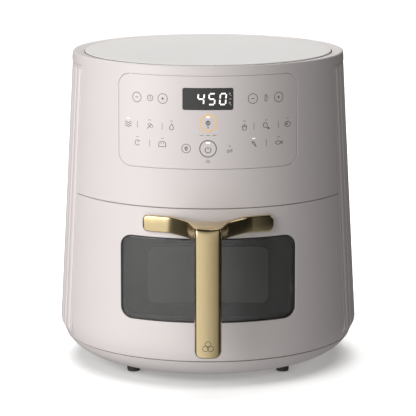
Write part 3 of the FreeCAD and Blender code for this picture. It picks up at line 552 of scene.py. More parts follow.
# Every finish by its name. A node gets the finish that its slot names.
FINISHES = {
    "housing": MouldedPlastic("satin_body", BODY_COLOUR),
    "lid": MouldedPlastic("textured_lid", (0.87, 0.845, 0.82), 0.5, 900.0, 0.03 * MM),
    "panel": MouldedPlastic("touch_panel_skin", BODY_COLOUR, 0.36, 1600.0, 0.008 * MM),
    "display": MouldedPlastic("display_smoke", (0.055, 0.054, 0.052), 0.12, 1800.0, 0.002 * MM),
    "smoked_glass": Glass("smoked_glass", (0.7, 0.695, 0.68), 0.05, 1.75, 0.3, (0.04, 0.04, 0.038)),
    "clear_glass": Glass("heatproof_glass", (0.9, 0.92, 0.92), 0.04, 1.47, 0.6, (0.5, 0.5, 0.49)),
    "gold": BrushedGold(),
    "black_plastic": MouldedPlastic("black_moulding", (0.022, 0.022, 0.022), 0.45, 1200.0, 0.03 * MM),
    "grey_plastic": MouldedPlastic("grey_moulding", (0.3, 0.295, 0.29), 0.5, 1000.0, 0.03 * MM),
    "rubber": Rubber("foot_rubber", (0.03, 0.03, 0.03)),
    "silicone": Rubber("seal_silicone", (0.05, 0.05, 0.052), 0.5),
    "sheet_steel": Metal("aluminised_sheet", (0.52, 0.52, 0.51), 0.36),
    "nonstick": Coating(),
    "heater_steel": Metal("oxidised_tube", (0.2, 0.18, 0.16), 0.5, (1, 1, 1), (0.12, 0.09, 0.12)),
    "aluminium": Metal("cast_aluminium", (0.66, 0.66, 0.67), 0.42, (1, 1, 1)),
    "steel": Metal("bright_steel", (0.55, 0.55, 0.56), 0.26, (0.05, 1.0, 1.0)),
    "lamination": Laminate(),
    "bronze": Metal("sintered_bronze", (0.4, 0.25, 0.11), 0.45, (1, 1, 1)),
    "circuit_board": Board(),
    "component_black": MouldedPlastic("component_case", (0.03, 0.03, 0.033), 0.35, 900.0, 0.02 * MM),
    "print": Ink("panel_print", (0.16, 0.145, 0.135)),
    "print_pale": Ink("fine_print", (0.33, 0.31, 0.295)),
    "amber": Glow("amber_light", (0.86, 0.48, 0.11), 0.75),
    "white_light": Glow("white_light", (1.0, 0.98, 0.94), 1.15),
    "dim_light": Glow("dim_light", (0.42, 0.41, 0.4), 0.8),
    "engraving": Ink("engraved_gold", (0.11, 0.09, 0.05), 0.4),
}


class Palette:
    """Materials made once from their finishes."""

    made: dict[str, bpy.types.Material] = {}

    @classmethod
    def get(cls, finish: str) -> bpy.types.Material:
        """The material of a finish, made on first use.

        Args:
            finish: name of the finish.

        Returns:
            Its material.
        """
        if finish not in cls.made:
            cls.made[finish] = FINISHES[finish].make()
        return cls.made[finish]


# ---- meshes ----

class Shell:
    """Points and faces of one piece, gathered surface by surface."""

    def __init__(self) -> None:
        """Starts empty."""
        self.points: list[Vector] = []
        self.faces: list[tuple[int, ...]] = []

    def add(self, points: Sequence[Vector], faces: Iterable[Sequence[int]]) -> None:
        """Adds a surface.

        Args:
            points: its points.
            faces: its faces, which count from its own first point.
        """
        base = len(self.points)
        self.points.extend(points)
        self.faces.extend(tuple(base + i for i in face) for face in faces)

    def loft(self, rows: Sequence[Sequence[Vector]], closed: bool = True, around: bool = False,
             caps: bool = False) -> None:
        """Skins rows of matching points.

        Args:
            rows: rows with the same number of points.
            closed: whether each row closes on itself.
            around: whether the last row joins the first.
            caps: whether the first and last rows are filled.
        """
        count = len(rows[0])
        faces: list[Sequence[int]] = []
        for j in range(len(rows) - (0 if around else 1)):
            k = (j + 1) % len(rows)
            for i in range(count - (0 if closed else 1)):
                n = (i + 1) % count
                faces.append((j * count + i, j * count + n, k * count + n, k * count + i))
        if caps:
            faces.append(tuple(range(count))[::-1])
            faces.append(tuple((len(rows) - 1) * count + i for i in range(count)))
        self.add([p for row in rows for p in row], faces)

    def piece(self, name: str, finish: str, body: str, replaces: Sequence[str] = (), slot: str | None = None,
              crease: float = 38.0) -> None:
        """Makes the piece, rides it on its body and reports it.

        Args:
            name: name of the piece.
            finish: finish of the whole piece.
            body: body of the frame that it moves with.
            replaces: CAD nodes that it stands for.
            slot: not used.
            crease: angle in degrees above which an edge stays sharp.
        """
        mesh = bpy.data.meshes.new(name)
        mesh.from_pydata([tuple(p) for p in self.points], [], self.faces)
        work = bmesh.new()
        work.from_mesh(mesh)
        bmesh.ops.remove_doubles(work, verts=work.verts, dist=2e-6)
        flat = [f for f in work.faces if f.calc_area() < 1e-12]
        bmesh.ops.delete(work, geom=flat, context="FACES")
        loose = [v for v in work.verts if not v.link_faces]
        bmesh.ops.delete(work, geom=loose, context="VERTS")
        bmesh.ops.recalc_face_normals(work, faces=work.faces)
        work.to_mesh(mesh)
        work.free()
        mesh.polygons.foreach_set("use_smooth", [True] * len(mesh.polygons))
        mesh.set_sharp_from_angle(angle=math.radians(crease))
        mesh.materials.append(Palette.get(finish))
        piece = bpy.data.objects.new(name, mesh)
        bpy.context.scene.collection.objects.link(piece)
        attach(piece, body)
        if replaces:
            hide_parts(*replaces)
        LOG.info("made %s in %s on %s", name, finish, body)


def rounded_path(corners: Sequence[tuple[float, float, float]], steps: int = 5,
                 closed: bool = True) -> list[Point2]:
    """Polygon with its corners rounded.

    Args:
        corners: (a, b, radius) of each corner.
        steps: divisions of each round corner.
        closed: whether the last corner joins the first.

    Returns:
        The points of the outline.
    """
    points: list[Point2] = []
    for i, (a, b, radius) in enumerate(corners):
        here = Vector((a, b))
        if radius <= 0 or (not closed and i in (0, len(corners) - 1)):
            points.append((a, b))
            continue
        before = (Vector(corners[i - 1][:2]) - here).normalized()
        after = (Vector(corners[(i + 1) % len(corners)][:2]) - here).normalized()
        half = math.acos(max(-1.0, min(1.0, before.dot(after)))) / 2
        centre = here + (before + after).normalized() * (radius / math.sin(half))
        start = here + before * (radius / math.tan(half)) - centre
        end = here + after * (radius / math.tan(half)) - centre
        turn = start.angle_signed(end)
        for k in range(steps + 1):
            angle = -turn * k / steps
            spot = centre + Vector((start.x * math.cos(angle) - start.y * math.sin(angle),
                                    start.x * math.sin(angle) + start.y * math.cos(angle)))
            points.append((spot.x, spot.y))
    return points


def spline(points: Sequence[Point2], count: int) -> list[Point2]:
    """Smooth curve through points.

    Args:
        points: places that it passes, ends included.
        count: number of spans between the first and the last.

    Returns:
        Evenly counted places along it.
    """
    spots = [Vector(p) for p in points]
    spots = [spots[0] * 2 - spots[1]] + spots + [spots[-1] * 2 - spots[-2]]
    spans = len(points) - 1
    out: list[Point2] = []
    for k in range(count + 1):
        at = min(k * spans / count, spans - 1e-9)
        i = int(at)
        t = at - i
        p0, p1, p2, p3 = spots[i:i + 4]
        spot = 0.5 * ((2 * p1) + (p2 - p0) * t + (2 * p0 - 5 * p1 + 4 * p2 - p3) * t ** 2
                      + (3 * p1 - p0 - 3 * p2 + p3) * t ** 3)
        out.append((spot.x, spot.y))
    return out


def lathe(shell: Shell, section: Sequence[Point2], centre: Sequence[float] = (0, 0, 0), segments: int = 192,
          around: bool = True) -> None:
    """Turns a section of (radius, height) points about an upright axis.

    Args:
        shell: receives the surface.
        section: the section's points.
        centre: a point on the axis.
        segments: divisions of the turn.
        around: whether the section closes on itself.
    """
    rows = []
    for k in range(segments):
        angle = 2 * math.pi * k / segments
        rows.append([Vector((radius * math.sin(angle), -radius * math.cos(angle), height)) + Vector(centre)
                     for radius, height in section])
    shell.loft(rows, closed=around, around=True)


# ---- the body's form ----

@dataclass(frozen=True)
class WallForm:
    """Round body: a wall that widens downwards and turns under at the foot."""

    rim_radius: float
    top: float
    floor: float
    turn: float = 45 * MM

    def profile(self, z: float) -> tuple[float, float]:
        """Radius and lean of the outside.

        Args:
            z: height.

        Returns:
            The radius, and the angle of the outward direction above level.
        """
        centre_z = self.floor + self.turn
        wall = self.rim_radius + (self.top - z) * SPLAY
        if z >= centre_z + self.turn * math.sin(SLOPE):
            return wall, SLOPE
        centre_r = self.rim_radius + (self.top - centre_z) * SPLAY - self.turn / math.cos(SLOPE)
        lean = math.asin(max(-1.0, (z - centre_z) / self.turn))
        return centre_r + self.turn * math.cos(lean), lean

    def at(self, angle: float, z: float, depth: float = 0.0) -> Vector:
        """Point of the wall.

        Args:
            angle: angle from the front about the axis.
            z: height.
            depth: how far under the outside it lies.

        Returns:
            The point.
        """
        radius, lean = self.profile(z)
        radius -= depth * math.cos(lean)
        return Vector((radius * math.sin(angle), -radius * math.cos(angle), z - depth * math.sin(lean)))

    def angle_at(self, x: float, z: float) -> float:
        """Angle from the front where the wall passes x."""
        return math.asin(max(-1.0, min(1.0, x / self.profile(z)[0])))


class Side(Enum):
    """How an outline is laid on the wall."""

    FRONT = "sides at constant x, on the front"
    ROUND = "sides at constant angle"


@dataclass(frozen=True)
class Outline:
    """Rounded rectangle laid on the wall; u is x, or an angle times UNROLL."""

    left: float
    right: float
    low: float
    high: float
    corner: float
    side: Side = Side.FRONT

    def rim(self, form: WallForm, inset: float, spacing: float = 3.5 * MM) -> list[Point2]:
        """Closed loop of (angle times UNROLL, z), drawn in by inset.

        Args:
            form: the wall that the outline lies on.
            inset: how far inside the outline, below 0 for outside it.
            spacing: largest step along a straight side.

        Returns:
            The loop's points, always as many for one outline.
        """
        corner = max(self.corner - inset, 0.02 * MM)
        box = [(self.right - inset, self.high - inset), (self.left + inset, self.high - inset),
               (self.left + inset, self.low + inset), (self.right - inset, self.low + inset)]
        steps = 7
        arcs = rounded_path([(a, b, corner) for a, b in box], steps)
        wide = max(2, math.ceil((self.right - self.left - 2 * self.corner) / spacing))
        tall = max(2, math.ceil((self.high - self.low - 2 * self.corner) / spacing))
        loop: list[Point2] = []
        for k, count in enumerate((wide, tall, wide, tall)):
            last = (steps + 1) * (k + 1) - 1
            loop.extend(arcs[last - steps:last + 1])
            start, end = Vector(arcs[last]), Vector(arcs[(last + 1) % len(arcs)])
            loop.extend(tuple(start.lerp(end, i / count)) for i in range(1, count))
        return [self.unrolled(form, u, z) for u, z in loop]

    def unrolled(self, form: WallForm, u: float, z: float) -> Point2:
        """Place on the unrolled wall of a place on the outline."""
        return (u if self.side is Side.ROUND else form.angle_at(u, z) * UNROLL), z

    def grown(self, amount: float) -> "Outline":
        """The outline, larger by an amount all round."""
        return Outline(self.left - amount, self.right + amount, self.low - amount, self.high + amount,
                       max(self.corner + amount, 0.1 * MM), self.side)


def inside(loop: np.ndarray, spots: np.ndarray) -> np.ndarray:
    """Which spots lie inside a closed loop.

    Args:
        loop: the loop's points, one to a row.
        spots: the places to sort, one to a row.

    Returns:
        True or False for each spot.
    """
    x, y = spots[:, 0:1], spots[:, 1:2]
    x0, y0 = loop[:, 0], loop[:, 1]
    x1, y1 = np.roll(x0, -1), np.roll(y0, -1)
    crosses = (y0 > y) != (y1 > y)
    rise = np.where(y1 == y0, 1e-12, y1 - y0)
    left = x < (x1 - x0) * (y - y0) / rise + x0
    return (crosses & left).sum(1) % 2 == 1


@dataclass
class Sheet:
    """Moulded sheet on the wall, with holes; its edges are rolled over by roll."""

    form: WallForm
    outline: Outline
    holes: Sequence[Outline] = ()
    depth: float = 0.0
    thick: float = 2.5 * MM
    roll: float = 0.4 * MM
    grid: float = 5.0 * MM

    def build(self, shell: Shell) -> None:
        """Adds the sheet's front, rolled edges, thickness and back.

        Args:
            shell: receives the surfaces.
        """
        support = self.roll + 0.5 * MM
        levels = [(support, 0.0)]
        for k in range(5):
            t = 0.5 * math.pi * k / 4
            levels.append((self.roll * (1 - math.sin(t)), self.roll * (1 - math.cos(t))))
        levels.append((0.0, self.thick))
        for sign, edge in [(1, self.outline)] + [(-1, hole) for hole in self.holes]:
            rows = []
            for inset, sunk in levels:
                rim = edge.rim(self.form, sign * inset)
                rows.append([self.form.at(u / UNROLL, z, self.depth + sunk) for u, z in rim])
            shell.loft(rows)
        self.fill(shell, support, self.depth)
        self.fill(shell, 0.0, self.depth + self.thick)

    def fill(self, shell: Shell, inset: float, depth: float) -> None:
        """Fills the region between the edges with triangles on a grid.

        Args:
            shell: receives the surface.
            inset: how far inside the edges it stops.
            depth: how far under the wall's outside it lies.
        """
        loops = [np.array(self.outline.rim(self.form, inset))]
        loops += [np.array(hole.rim(self.form, -inset)) for hole in self.holes]
        low, high = loops[0].min(0), loops[0].max(0)
        steps = [max(2, round((b - a) / self.grid)) for a, b in zip(low, high)]
        us = np.linspace(low[0], high[0], steps[0] + 1)
        zs = np.linspace(low[1], high[1], steps[1] + 1)
        spots = np.array([(u, z) for z in zs for u in us])
        edge = np.concatenate(loops)
        gap = np.sqrt(((spots[:, None] - edge[None]) ** 2).sum(2)).min(1)
        spots = spots[(gap > 0.45 * self.grid) & self.kept(loops, spots)]
        links, base = [], 0
        for loop in loops:
            links += [(base + i, base + (i + 1) % len(loop)) for i in range(len(loop))]
            base += len(loop)
        every = [Vector(p) for p in np.concatenate([edge, spots])]
        out = delaunay_2d_cdt(every, links, [], 0, 1e-9)
        flat = np.array([tuple(p) for p in out[0]])
        faces = [tuple(f) for f in out[2]]
        middles = np.array([flat[list(f)].mean(0) for f in faces])
        keep = self.kept(loops, middles)
        points = [self.form.at(u / UNROLL, z, depth) for u, z in flat]
        shell.add(points, [f for f, k in zip(faces, keep) if k])

    @staticmethod
    def kept(loops: Sequence[np.ndarray], spots: np.ndarray) -> np.ndarray:
        """Which spots lie in the outline and in none of its holes.

        Args:
            loops: the outline, then its holes.
            spots: the places to sort, one to a row.

        Returns:
            True or False for each spot.
        """
        keep = inside(loops[0], spots)
        for hole in loops[1:]:
            keep &= ~inside(hole, spots)
        return keep


def span(node: str) -> tuple[Vector, Vector]:
    """Lowest and highest corner of a CAD node."""
    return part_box(node)


def make_form() -> WallForm:
    """The body's form, read from the frame.

    Returns:
        The form that every sub-assembly's wall follows.
    """
    top = CAD_BOX[1].z
    rim_low = span("control_panel")[1].z + 0.3 * MM
    rim_radius = span("upper_housing")[1].x - (top - rim_low) * SPLAY
    return WallForm(rim_radius, top, span("base_shell")[0].z)


FORM = make_form()


# ---- casing ----

@dataclass
class Casing:
    """Upper housing with its rim, and the lid let into it."""

    rim_height: float = 9.6 * MM
    rim_round: float = 1.7 * MM
    inner_round: float = 0.5 * MM
    rim_fall: float = 1.6 * MM
    lid_rise: float = 1.1 * MM
    ledge_drop: float = 3.0 * MM
    ledge_width: float = 8.0 * MM
    ledge_thick: float = 3.0 * MM
    ring_inset: float = 7.8 * MM
    ring_thick: float = 2.5 * MM
    undercut: float = 1.4 * MM
    half_angle: float = math.radians(65)
    wall: float = 4.0 * MM
    gap: float = 0.4 * MM

    def build(self) -> None:
        """Builds the housing and the lid."""
        self.housing()
        self.lid()

    def housing(self) -> None:
        """Front wall with the panel's pocket, full rim and lid ledge."""
        shell = Shell()
        top = FORM.top
        low = top - self.rim_height
        inner = span("top_cover")[1].x + 0.7 * MM
        lid_low = span("top_cover")[1].z - self.ledge_drop
        ledge_in, ledge_low = inner - self.ledge_width, lid_low - self.ledge_thick
        skirt = inner + 1 * MM
        section = rounded_path([(FORM.profile(low)[0], low, 0), (FORM.rim_radius, top, self.rim_round),
                                (inner, top - self.rim_fall, self.inner_round), (inner, lid_low, 0),
                                (ledge_in, lid_low, 0), (ledge_in, ledge_low, 0), (skirt, ledge_low, 0),
                                (skirt, low, 0)], 7)
        lathe(shell, section)
        reach = self.half_angle * UNROLL
        panel = ControlPanel()
        pocket = panel.outline().grown(self.gap)
        front = Outline(-reach, reach, span("upper_housing")[0].z, low + 3 * MM, 0.3 * MM, Side.ROUND)
        Sheet(FORM, front, [pocket], depth=0.01 * MM, thick=self.wall, roll=0.5 * MM).build(shell)
        window = panel.window_outline().grown(-1.5 * MM)
        floor = pocket.grown(2 * MM)
        Sheet(FORM, floor, [window], depth=1.7 * MM, thick=2.2 * MM, roll=0.1 * MM).build(shell)
        self.flange(shell)
        shell.piece("upper_housing_shell", "housing", "root", ["upper_housing"])

    def flange(self, shell: Shell) -> None:
        """Level flange that closes the housing above the drawer.

        Args:
            shell: receives the surface.
        """
        z0 = span("upper_housing")[0].z
        mouth = span("front_frame")[0].y
        outer = FORM.profile(z0)[0] - 1.5 * MM
        chamber = span("heat_chamber")[1].x + 0.5 * MM
        lift = Vector((0, 0, 2.5 * MM))
        base = Vector((0, 0, z0))
        count = 60
        rows = []
        for k in range(count + 1):
            angle = self.half_angle * (2 * k / count - 1)
            far = Vector((outer * math.sin(angle), -outer * math.cos(angle), 0))
            near = max(chamber, -mouth / math.cos(angle))
            close = far.normalized() * min(near, outer - 2 * MM)
            rows.append([close + base, far + base, far + base + lift, close + base + lift])
        shell.loft(rows, caps=True)

    def lid(self) -> None:
        """Round lid with a soft edge and a locating ring, and its dark seal, whose band under the lid's edge
        is partly a real seal and partly painted shadow gap.
        """
        shell = Shell()
        low, high = span("top_cover")
        radius = high.x
        seat = high.z - self.ledge_drop
        ring = radius - self.ring_inset
        ring_in = ring - self.ring_thick
        top = high.z + self.lid_rise
        under = radius - self.undercut
        section = rounded_path([(0, seat, 0), (ring_in, seat, 0), (ring_in, low.z, 0.5 * MM),
                                (ring, low.z, 0.5 * MM), (ring, seat, 0), (under, seat, 0.2 * MM),
                                (under, top - 1.5 * MM, 0), (radius, top - 1.4 * MM, 0.2 * MM),
                                (radius, top, 0.9 * MM), (0.9 * radius, top, 0), (0, top, 0)],
                               7, closed=False)
        lathe(shell, section, around=False)
        shell.piece("lid", "lid", "root", ["top_cover"])
        # Dark seal ring, proud under the lid's edge: partly a real seal, partly painted shade that stands in
        # for the shadow gap between the lid and the rim.
        shell = Shell()
        level = FORM.top - self.rim_fall
        seal_in, seal_out = under + 0.1 * MM, radius + 0.45 * MM
        section = rounded_path([(seal_in, level - 1.2 * MM, 0), (seal_out, level - 1.2 * MM, 0),
                                (seal_out, level + 0.3 * MM, 0.2 * MM),
                                (radius - 0.2 * MM, top - 0.9 * MM, 0), (seal_in, top - 1.0 * MM, 0)], 4)
        lathe(shell, section)
        shell.piece("lid_seal_and_shadow_gap", "silicone", "root")


class Icon(Enum):
    """Generic pictograms, each as strokes in a cell from -1 to 1."""

    AIR = "air"
    LEAF = "leaf"
    FLAME = "flame"
    RENEW = "renew"
    LOAF = "loaf"
    CHIPS = "chips"
    DRUMSTICK = "drumstick"
    STEAK = "steak"
    CARROT = "carrot"
    FISH = "fish"
    CLOCK = "clock"
    HEAT = "heat"
    BULB = "bulb"
    SHAKE = "shake"
    POWER = "power"
    WHISK = "whisk"


def arc(x: float, z: float, radius: float, start: float, end: float, steps: int = 12,
        tall: float = 1.0) -> list[Point2]:
    """Points of an arc, angles in degrees from +x, its height scaled by tall."""
    angles = [math.radians(start + (end - start) * k / steps) for k in range(steps + 1)]
    return [(x + radius * math.cos(a), z + radius * tall * math.sin(a)) for a in angles]


def icon_strokes(icon: Icon) -> list[list[Point2]]:
    """Strokes of a pictogram in a cell from -1 to 1.

    Args:
        icon: which pictogram.

    Returns:
        Open or closed runs of points; a closed one ends where it starts.
    """
    wave = [(-1 + 0.1 * k, 0.22 * math.sin(0.1 * k * math.pi * 1.5)) for k in range(21)]
    drawings = {
        Icon.AIR: [[(x * 1.3, z + dz) for x, z in wave] for dz in (-0.65, 0.0, 0.65)],
        Icon.LEAF: [arc(-0.35, -0.75, 1.55, 8, 80), arc(0.95, 0.95, 1.55, 188, 260),
                    [(-0.9, -1.0), (0.5, 0.45)]],
        Icon.FLAME: [[(0.0, -1.0), (-0.65, -0.7), (-0.7, -0.1), (-0.2, 0.45), (0.0, 1.0), (0.35, 0.5),
                      (0.65, 0.1), (0.7, -0.5), (0.4, -0.9), (0.0, -1.0)]],
        Icon.RENEW: [arc(0, 0, 0.85, 60, 330, 20), [(0.3, 0.2), (0.42, 0.74), (0.95, 0.6)]],
        Icon.LOAF: [[(-1.2, -0.8), (1.2, -0.8), (1.2, 0.1)] + arc(0, 0.1, 1.2, 0, 180, 14, 0.7)
                    + [(-1.2, -0.8)], [(-0.4, 0.55), (-0.4, 0.1)], [(0.4, 0.55), (0.4, 0.1)]],
        Icon.CHIPS: [[(-0.8, 0.1), (-0.55, -1.0), (0.55, -1.0), (0.8, 0.1), (-0.8, 0.1)],
                     [(-0.45, 0.1), (-0.5, 0.8)], [(0.0, 0.1), (0.0, 1.0)], [(0.45, 0.1), (0.5, 0.8)]],
        Icon.DRUMSTICK: [arc(-0.35, 0.25, 0.75, -20, 290, 20), [(0.3, -0.1), (0.95, -0.75)],
                         [(-0.1, -0.45), (0.75, -0.95)], arc(0.95, -0.9, 0.18, 0, 360, 8)],
        Icon.STEAK: [arc(0.0, 0.0, 1.15, 0, 360, 22, 0.72), arc(-0.4, 0.1, 0.28, 0, 360, 10)],
        Icon.CARROT: [[(-0.5, 0.45), (0.9, -0.95), (0.1, 0.75), (-0.5, 0.45)],
                      [(-0.25, 0.65), (-0.9, 0.8)], [(-0.2, 0.7), (-0.35, 1.1)]],
        Icon.FISH: [arc(-0.2, -0.75, 1.3, 35, 145, 14), arc(-0.2, 0.75, 1.3, 215, 325, 14),
                    [(0.86, 0.0), (1.4, 0.6), (1.4, -0.6), (0.86, 0.0)]],
        Icon.CLOCK: [arc(0, 0, 0.95, 0, 360, 22), [(0, 0.55), (0, 0), (0.4, -0.2)]],
        Icon.HEAT: [[(-0.25, -0.35), (-0.25, 0.75)] + arc(0, 0.75, 0.25, 180, 0, 6)
                    + [(0.25, 0.75), (0.25, -0.35)] + arc(0, -0.62, 0.38, 50, -230, 14),
                    [(0.6, 0.5), (0.9, 0.5)], [(0.6, 0.0), (0.9, 0.0)]],
        Icon.BULB: [arc(0, 0.2, 0.62, -50, 230, 16),
                    [(-0.3, -0.45), (-0.3, -0.85), (0.3, -0.85), (0.3, -0.45)]],
        Icon.SHAKE: [[(-1.0, 0.3), (1.0, 0.3), (0.6, 0.7)], [(1.0, -0.3), (-1.0, -0.3), (-0.6, -0.7)]],
        Icon.POWER: [arc(0, 0, 0.85, 125, 415, 22), [(0, 0.2), (0, 1.0)]],
        Icon.WHISK: [arc(0, 0.35, 0.5, -60, 240, 16, 1.1), arc(0, 0.35, 0.2, -80, 260, 12, 2.4),
                     [(0, -0.2), (0, -1.1)]],
    }
    return drawings[icon]


@dataclass
class Marker:
    """Draws thin raised marks on a surface, which place() gives from x, z and a lift."""

    place: Callable[[float, float, float], Vector]
    lift: float = 0.05 * MM
    sink: float = 0.08 * MM
    shell: Shell = field(default_factory=Shell)

    def stroke(self, path: Sequence[Point2], width: float) -> None:
        """Adds one stroke as a thin solid strip.

        Args:
            path: places along it; it is closed if it ends where it starts.
            width: width of the stroke.
        """
        closed = math.dist(path[0], path[-1]) < 1e-7
        spots = self.divided(path[:-1] if closed else path, closed)
        rows = []
        for i, spot in enumerate(spots):
            before = spots[i - 1] if closed or i else spot
            after = spots[(i + 1) % len(spots)] if closed or i < len(spots) - 1 else spot
            into, away = (spot - before), (after - spot)
            into = into.normalized() if into.length > 1e-9 else away.normalized()
            away = away.normalized() if away.length > 1e-9 else into
            along = (into + away).normalized() if (into + away).length > 0.3 else away
            across = Vector((-along.y, along.x)) * (width / 2 / max(0.6, along.dot(away)))
            one, two = spot + across, spot - across
            rows.append([self.place(one.x, one.y, self.lift), self.place(two.x, two.y, self.lift),
                         self.place(two.x, two.y, -self.sink), self.place(one.x, one.y, -self.sink)])
        self.shell.loft(rows, closed=True, around=closed, caps=not closed)

    @staticmethod
    def divided(path: Sequence[Point2], closed: bool) -> list[Vector]:
        """The path with no step over 2 mm.

        Args:
            path: its places.
            closed: whether the last place joins the first.

        Returns:
            The places with those between them.
        """
        spots = [Vector(p) for p in path]
        out: list[Vector] = []
        for i, spot in enumerate(spots):
            out.append(spot)
            if not closed and i == len(spots) - 1:
                break
            following = spots[(i + 1) % len(spots)]
            pieces = math.ceil((following - spot).length / (2 * MM))
            out.extend(spot.lerp(following, k / pieces) for k in range(1, pieces))
        return out

    def icon(self, icon: Icon, x: float, z: float, size: float, width: float) -> None:
        """Adds a pictogram of that half size."""
        for path in icon_strokes(icon):
            self.stroke([(x + a * size, z + b * size) for a, b in path], width)

    def ring(self, x: float, z: float, diameter: float, width: float) -> None:
        """Adds a ring."""
        self.stroke(arc(x, z, diameter / 2, 0, 360, 48), width)


@dataclass
class ControlPanel:
    """Touch panel with its display, printed marks and lights; lit_one and lit_two are in millimetres."""

    corner: float = 11.5 * MM
    thick: float = 1.5 * MM
    display_corner: float = 1.6 * MM
    line: float = 0.58 * MM
    icon_size: float = 2.9 * MM
    key_level: float = 281.2 * MM
    row_one: float = 254.9 * MM
    row_two: float = 238.0 * MM
    light_rise: float = 5.3 * MM
    ring_level: float = 259.0 * MM
    start_level: float = 234.6 * MM
    ring_size: float = 15.7 * MM
    side_key: float = 20.8 * MM
    shake_key: float = 20.6 * MM
    name_level: float = 247.2 * MM
    lit_one: float = -80.6
    lit_two: float = 44.2

    def outline(self) -> Outline:
        """Outline of the whole panel."""
        low, high = span("control_panel")
        return Outline(low.x, high.x, low.z + PANEL_RISE, high.z, self.corner)

    def window_outline(self) -> Outline:
        """Outline of the display window."""
        low, high = span("display_window")
        return Outline(low.x, high.x, low.z + PANEL_RISE, high.z + PANEL_RISE, self.display_corner)

    def build(self) -> None:
        """Builds the skin, the display and every mark."""
        shell = Shell()
        window = self.window_outline()
        opening = window.grown(0.15 * MM)
        Sheet(FORM, self.outline(), [opening], thick=self.thick, roll=0.2 * MM).build(shell)
        shell.piece("touch_panel", "panel", "root", ["control_panel"])
        shell = Shell()
        Sheet(FORM, window, thick=self.thick, roll=0.12 * MM).build(shell)
        shell.piece("display_pane", "display", "root", ["display_window"])
        self.digits()
        self.printing()
        self.lights()

    @staticmethod
    def on_panel(arc_length: float, z: float, lift: float) -> Vector:
        """Place on the panel, its sideways measure taken along the curve."""
        return FORM.at(arc_length / FORM.profile(z)[0], z, -lift)

    def marker(self) -> Marker:
        """A marker that draws on the panel."""
        return Marker(self.on_panel)

    def digits(self) -> None:
        """Lit seven-segment digits and the small scale marks beside them."""
        low, high = span("display_window")
        middle = 0.5 * (low.z + high.z) + PANEL_RISE
        tall, wide, bar = 11.6 * MM, 6.9 * MM, 1.35 * MM
        inward, narrower, slant = 1 - bar / tall, 1 - bar / wide, 0.08
        segments = {"4": "bfgc", "5": "afgcd", "0": "abcdef"}
        half, side = tall / 2, wide / 2
        lines = {"a": ((-side, half), (side, half)), "b": ((side, half), (side, 0)),
                 "c": ((side, 0), (side, -half)), "d": ((-side, -half), (side, -half)),
                 "e": ((-side, 0), (-side, -half)), "f": ((-side, half), (-side, 0)),
                 "g": ((-side, 0), (side, 0))}
        marker = self.marker()
        for digit, centre in zip("450", (-6.7 * MM, 3.7 * MM, 14.2 * MM)):
            for name in segments[digit]:
                start, end = Vector(lines[name][0]), Vector(lines[name][1])
                ease = (end - start).normalized() * 0.75 * MM
                marker.stroke([(centre + p.x * narrower + p.y * slant, middle + p.y * inward)
                               for p in (start + ease, end - ease)], bar)
        marker.shell.piece("display_digits", "white_light", "root", slot="display")
        scale = self.marker()
        for z in (middle + 4.4 * MM, middle - 4.4 * MM):
            scale.ring(20.6 * MM, z + 0.7 * MM, 1.3 * MM, 0.45 * MM)
            scale.stroke([(20.9 * MM, z - 1.2 * MM), (22.2 * MM, z - 1.2 * MM)], 0.5 * MM)
        scale.stroke([(19.9 * MM, middle), (22.2 * MM, middle)], 0.6 * MM)
        scale.shell.piece("display_scale_marks", "dim_light", "root", slot="display")

    def printing(self) -> None:
        """Rings, signs, dividers and pictograms in grey ink."""
        dark, pale = self.marker(), self.marker()
        level = self.key_level
        for x in (-70.8, -43.7, 43.2, 70.3):
            dark.ring(x * MM, level, 9.3 * MM, self.line)
            dark.stroke([((x - 1.6) * MM, level), ((x + 1.6) * MM, level)], 0.7 * MM)
            if x in (-43.7, 70.3):
                dark.stroke([(x * MM, level - 1.6 * MM), (x * MM, level + 1.6 * MM)], 0.7 * MM)
        dark.icon(Icon.CLOCK, -56.5 * MM, level, self.icon_size, self.line)
        dark.icon(Icon.HEAT, 56.5 * MM, level, self.icon_size * 1.1, self.line)
        upper = {self.lit_one: Icon.AIR, -57.0: Icon.LEAF, -34.9: Icon.FLAME,
                 34.9: Icon.CHIPS, 57.0: Icon.DRUMSTICK, 80.6: Icon.STEAK}
        lower = {-70.3: Icon.RENEW, -44.2: Icon.LOAF, self.lit_two: Icon.CARROT, 70.3: Icon.FISH}
        for places, z in ((upper, self.row_one), (lower, self.row_two)):
            for x, icon in places.items():
                dark.icon(icon, x * MM, z - 0.2 * MM, self.icon_size, self.line)
        for x, z in ((70.2, self.row_one), (44.3, self.row_one), (57.0, self.row_two)):
            for side in (-1, 1):
                dark.stroke([(side * x * MM, z - 3.0 * MM), (side * x * MM, z + 3.4 * MM)], 0.42 * MM)
        for icons, z, lit in ((upper, self.row_one, self.lit_one), (lower, self.row_two, self.lit_two)):
            for x in icons:
                if x != lit:
                    self.bar(pale, x, z)
        dark.ring(0.0, self.start_level, self.ring_size, 0.9 * MM)
        dark.icon(Icon.POWER, 0.0, self.start_level - 1.2 * MM, 3.2 * MM, 0.75 * MM)
        dark.ring(-self.side_key, self.start_level, 8.3 * MM, self.line)
        dark.icon(Icon.BULB, -self.side_key, self.start_level, 1.7 * MM, 1.1 * MM)
        dark.icon(Icon.SHAKE, self.shake_key, 232.2 * MM, 2.6 * MM, self.line)
        dark.ring(self.shake_key, 236.8 * MM, 0.7 * MM, 0.5 * MM)
        pale.icon(Icon.AIR, 0.0, 222.4 * MM, 1.6 * MM, 0.4 * MM)
        dark.icon(Icon.WHISK, 0.0, self.ring_level - 1.4 * MM, 3.7 * MM, 0.75 * MM)
        for x in (-6.0, 0.0, 6.0):
            pale.stroke([((x - 2.0) * MM, self.name_level), ((x + 2.0) * MM, self.name_level)], 0.7 * MM)
        dark.shell.piece("panel_print", "print", "root", slot="panel")
        pale.shell.piece("panel_fine_print", "print_pale", "root", slot="panel")

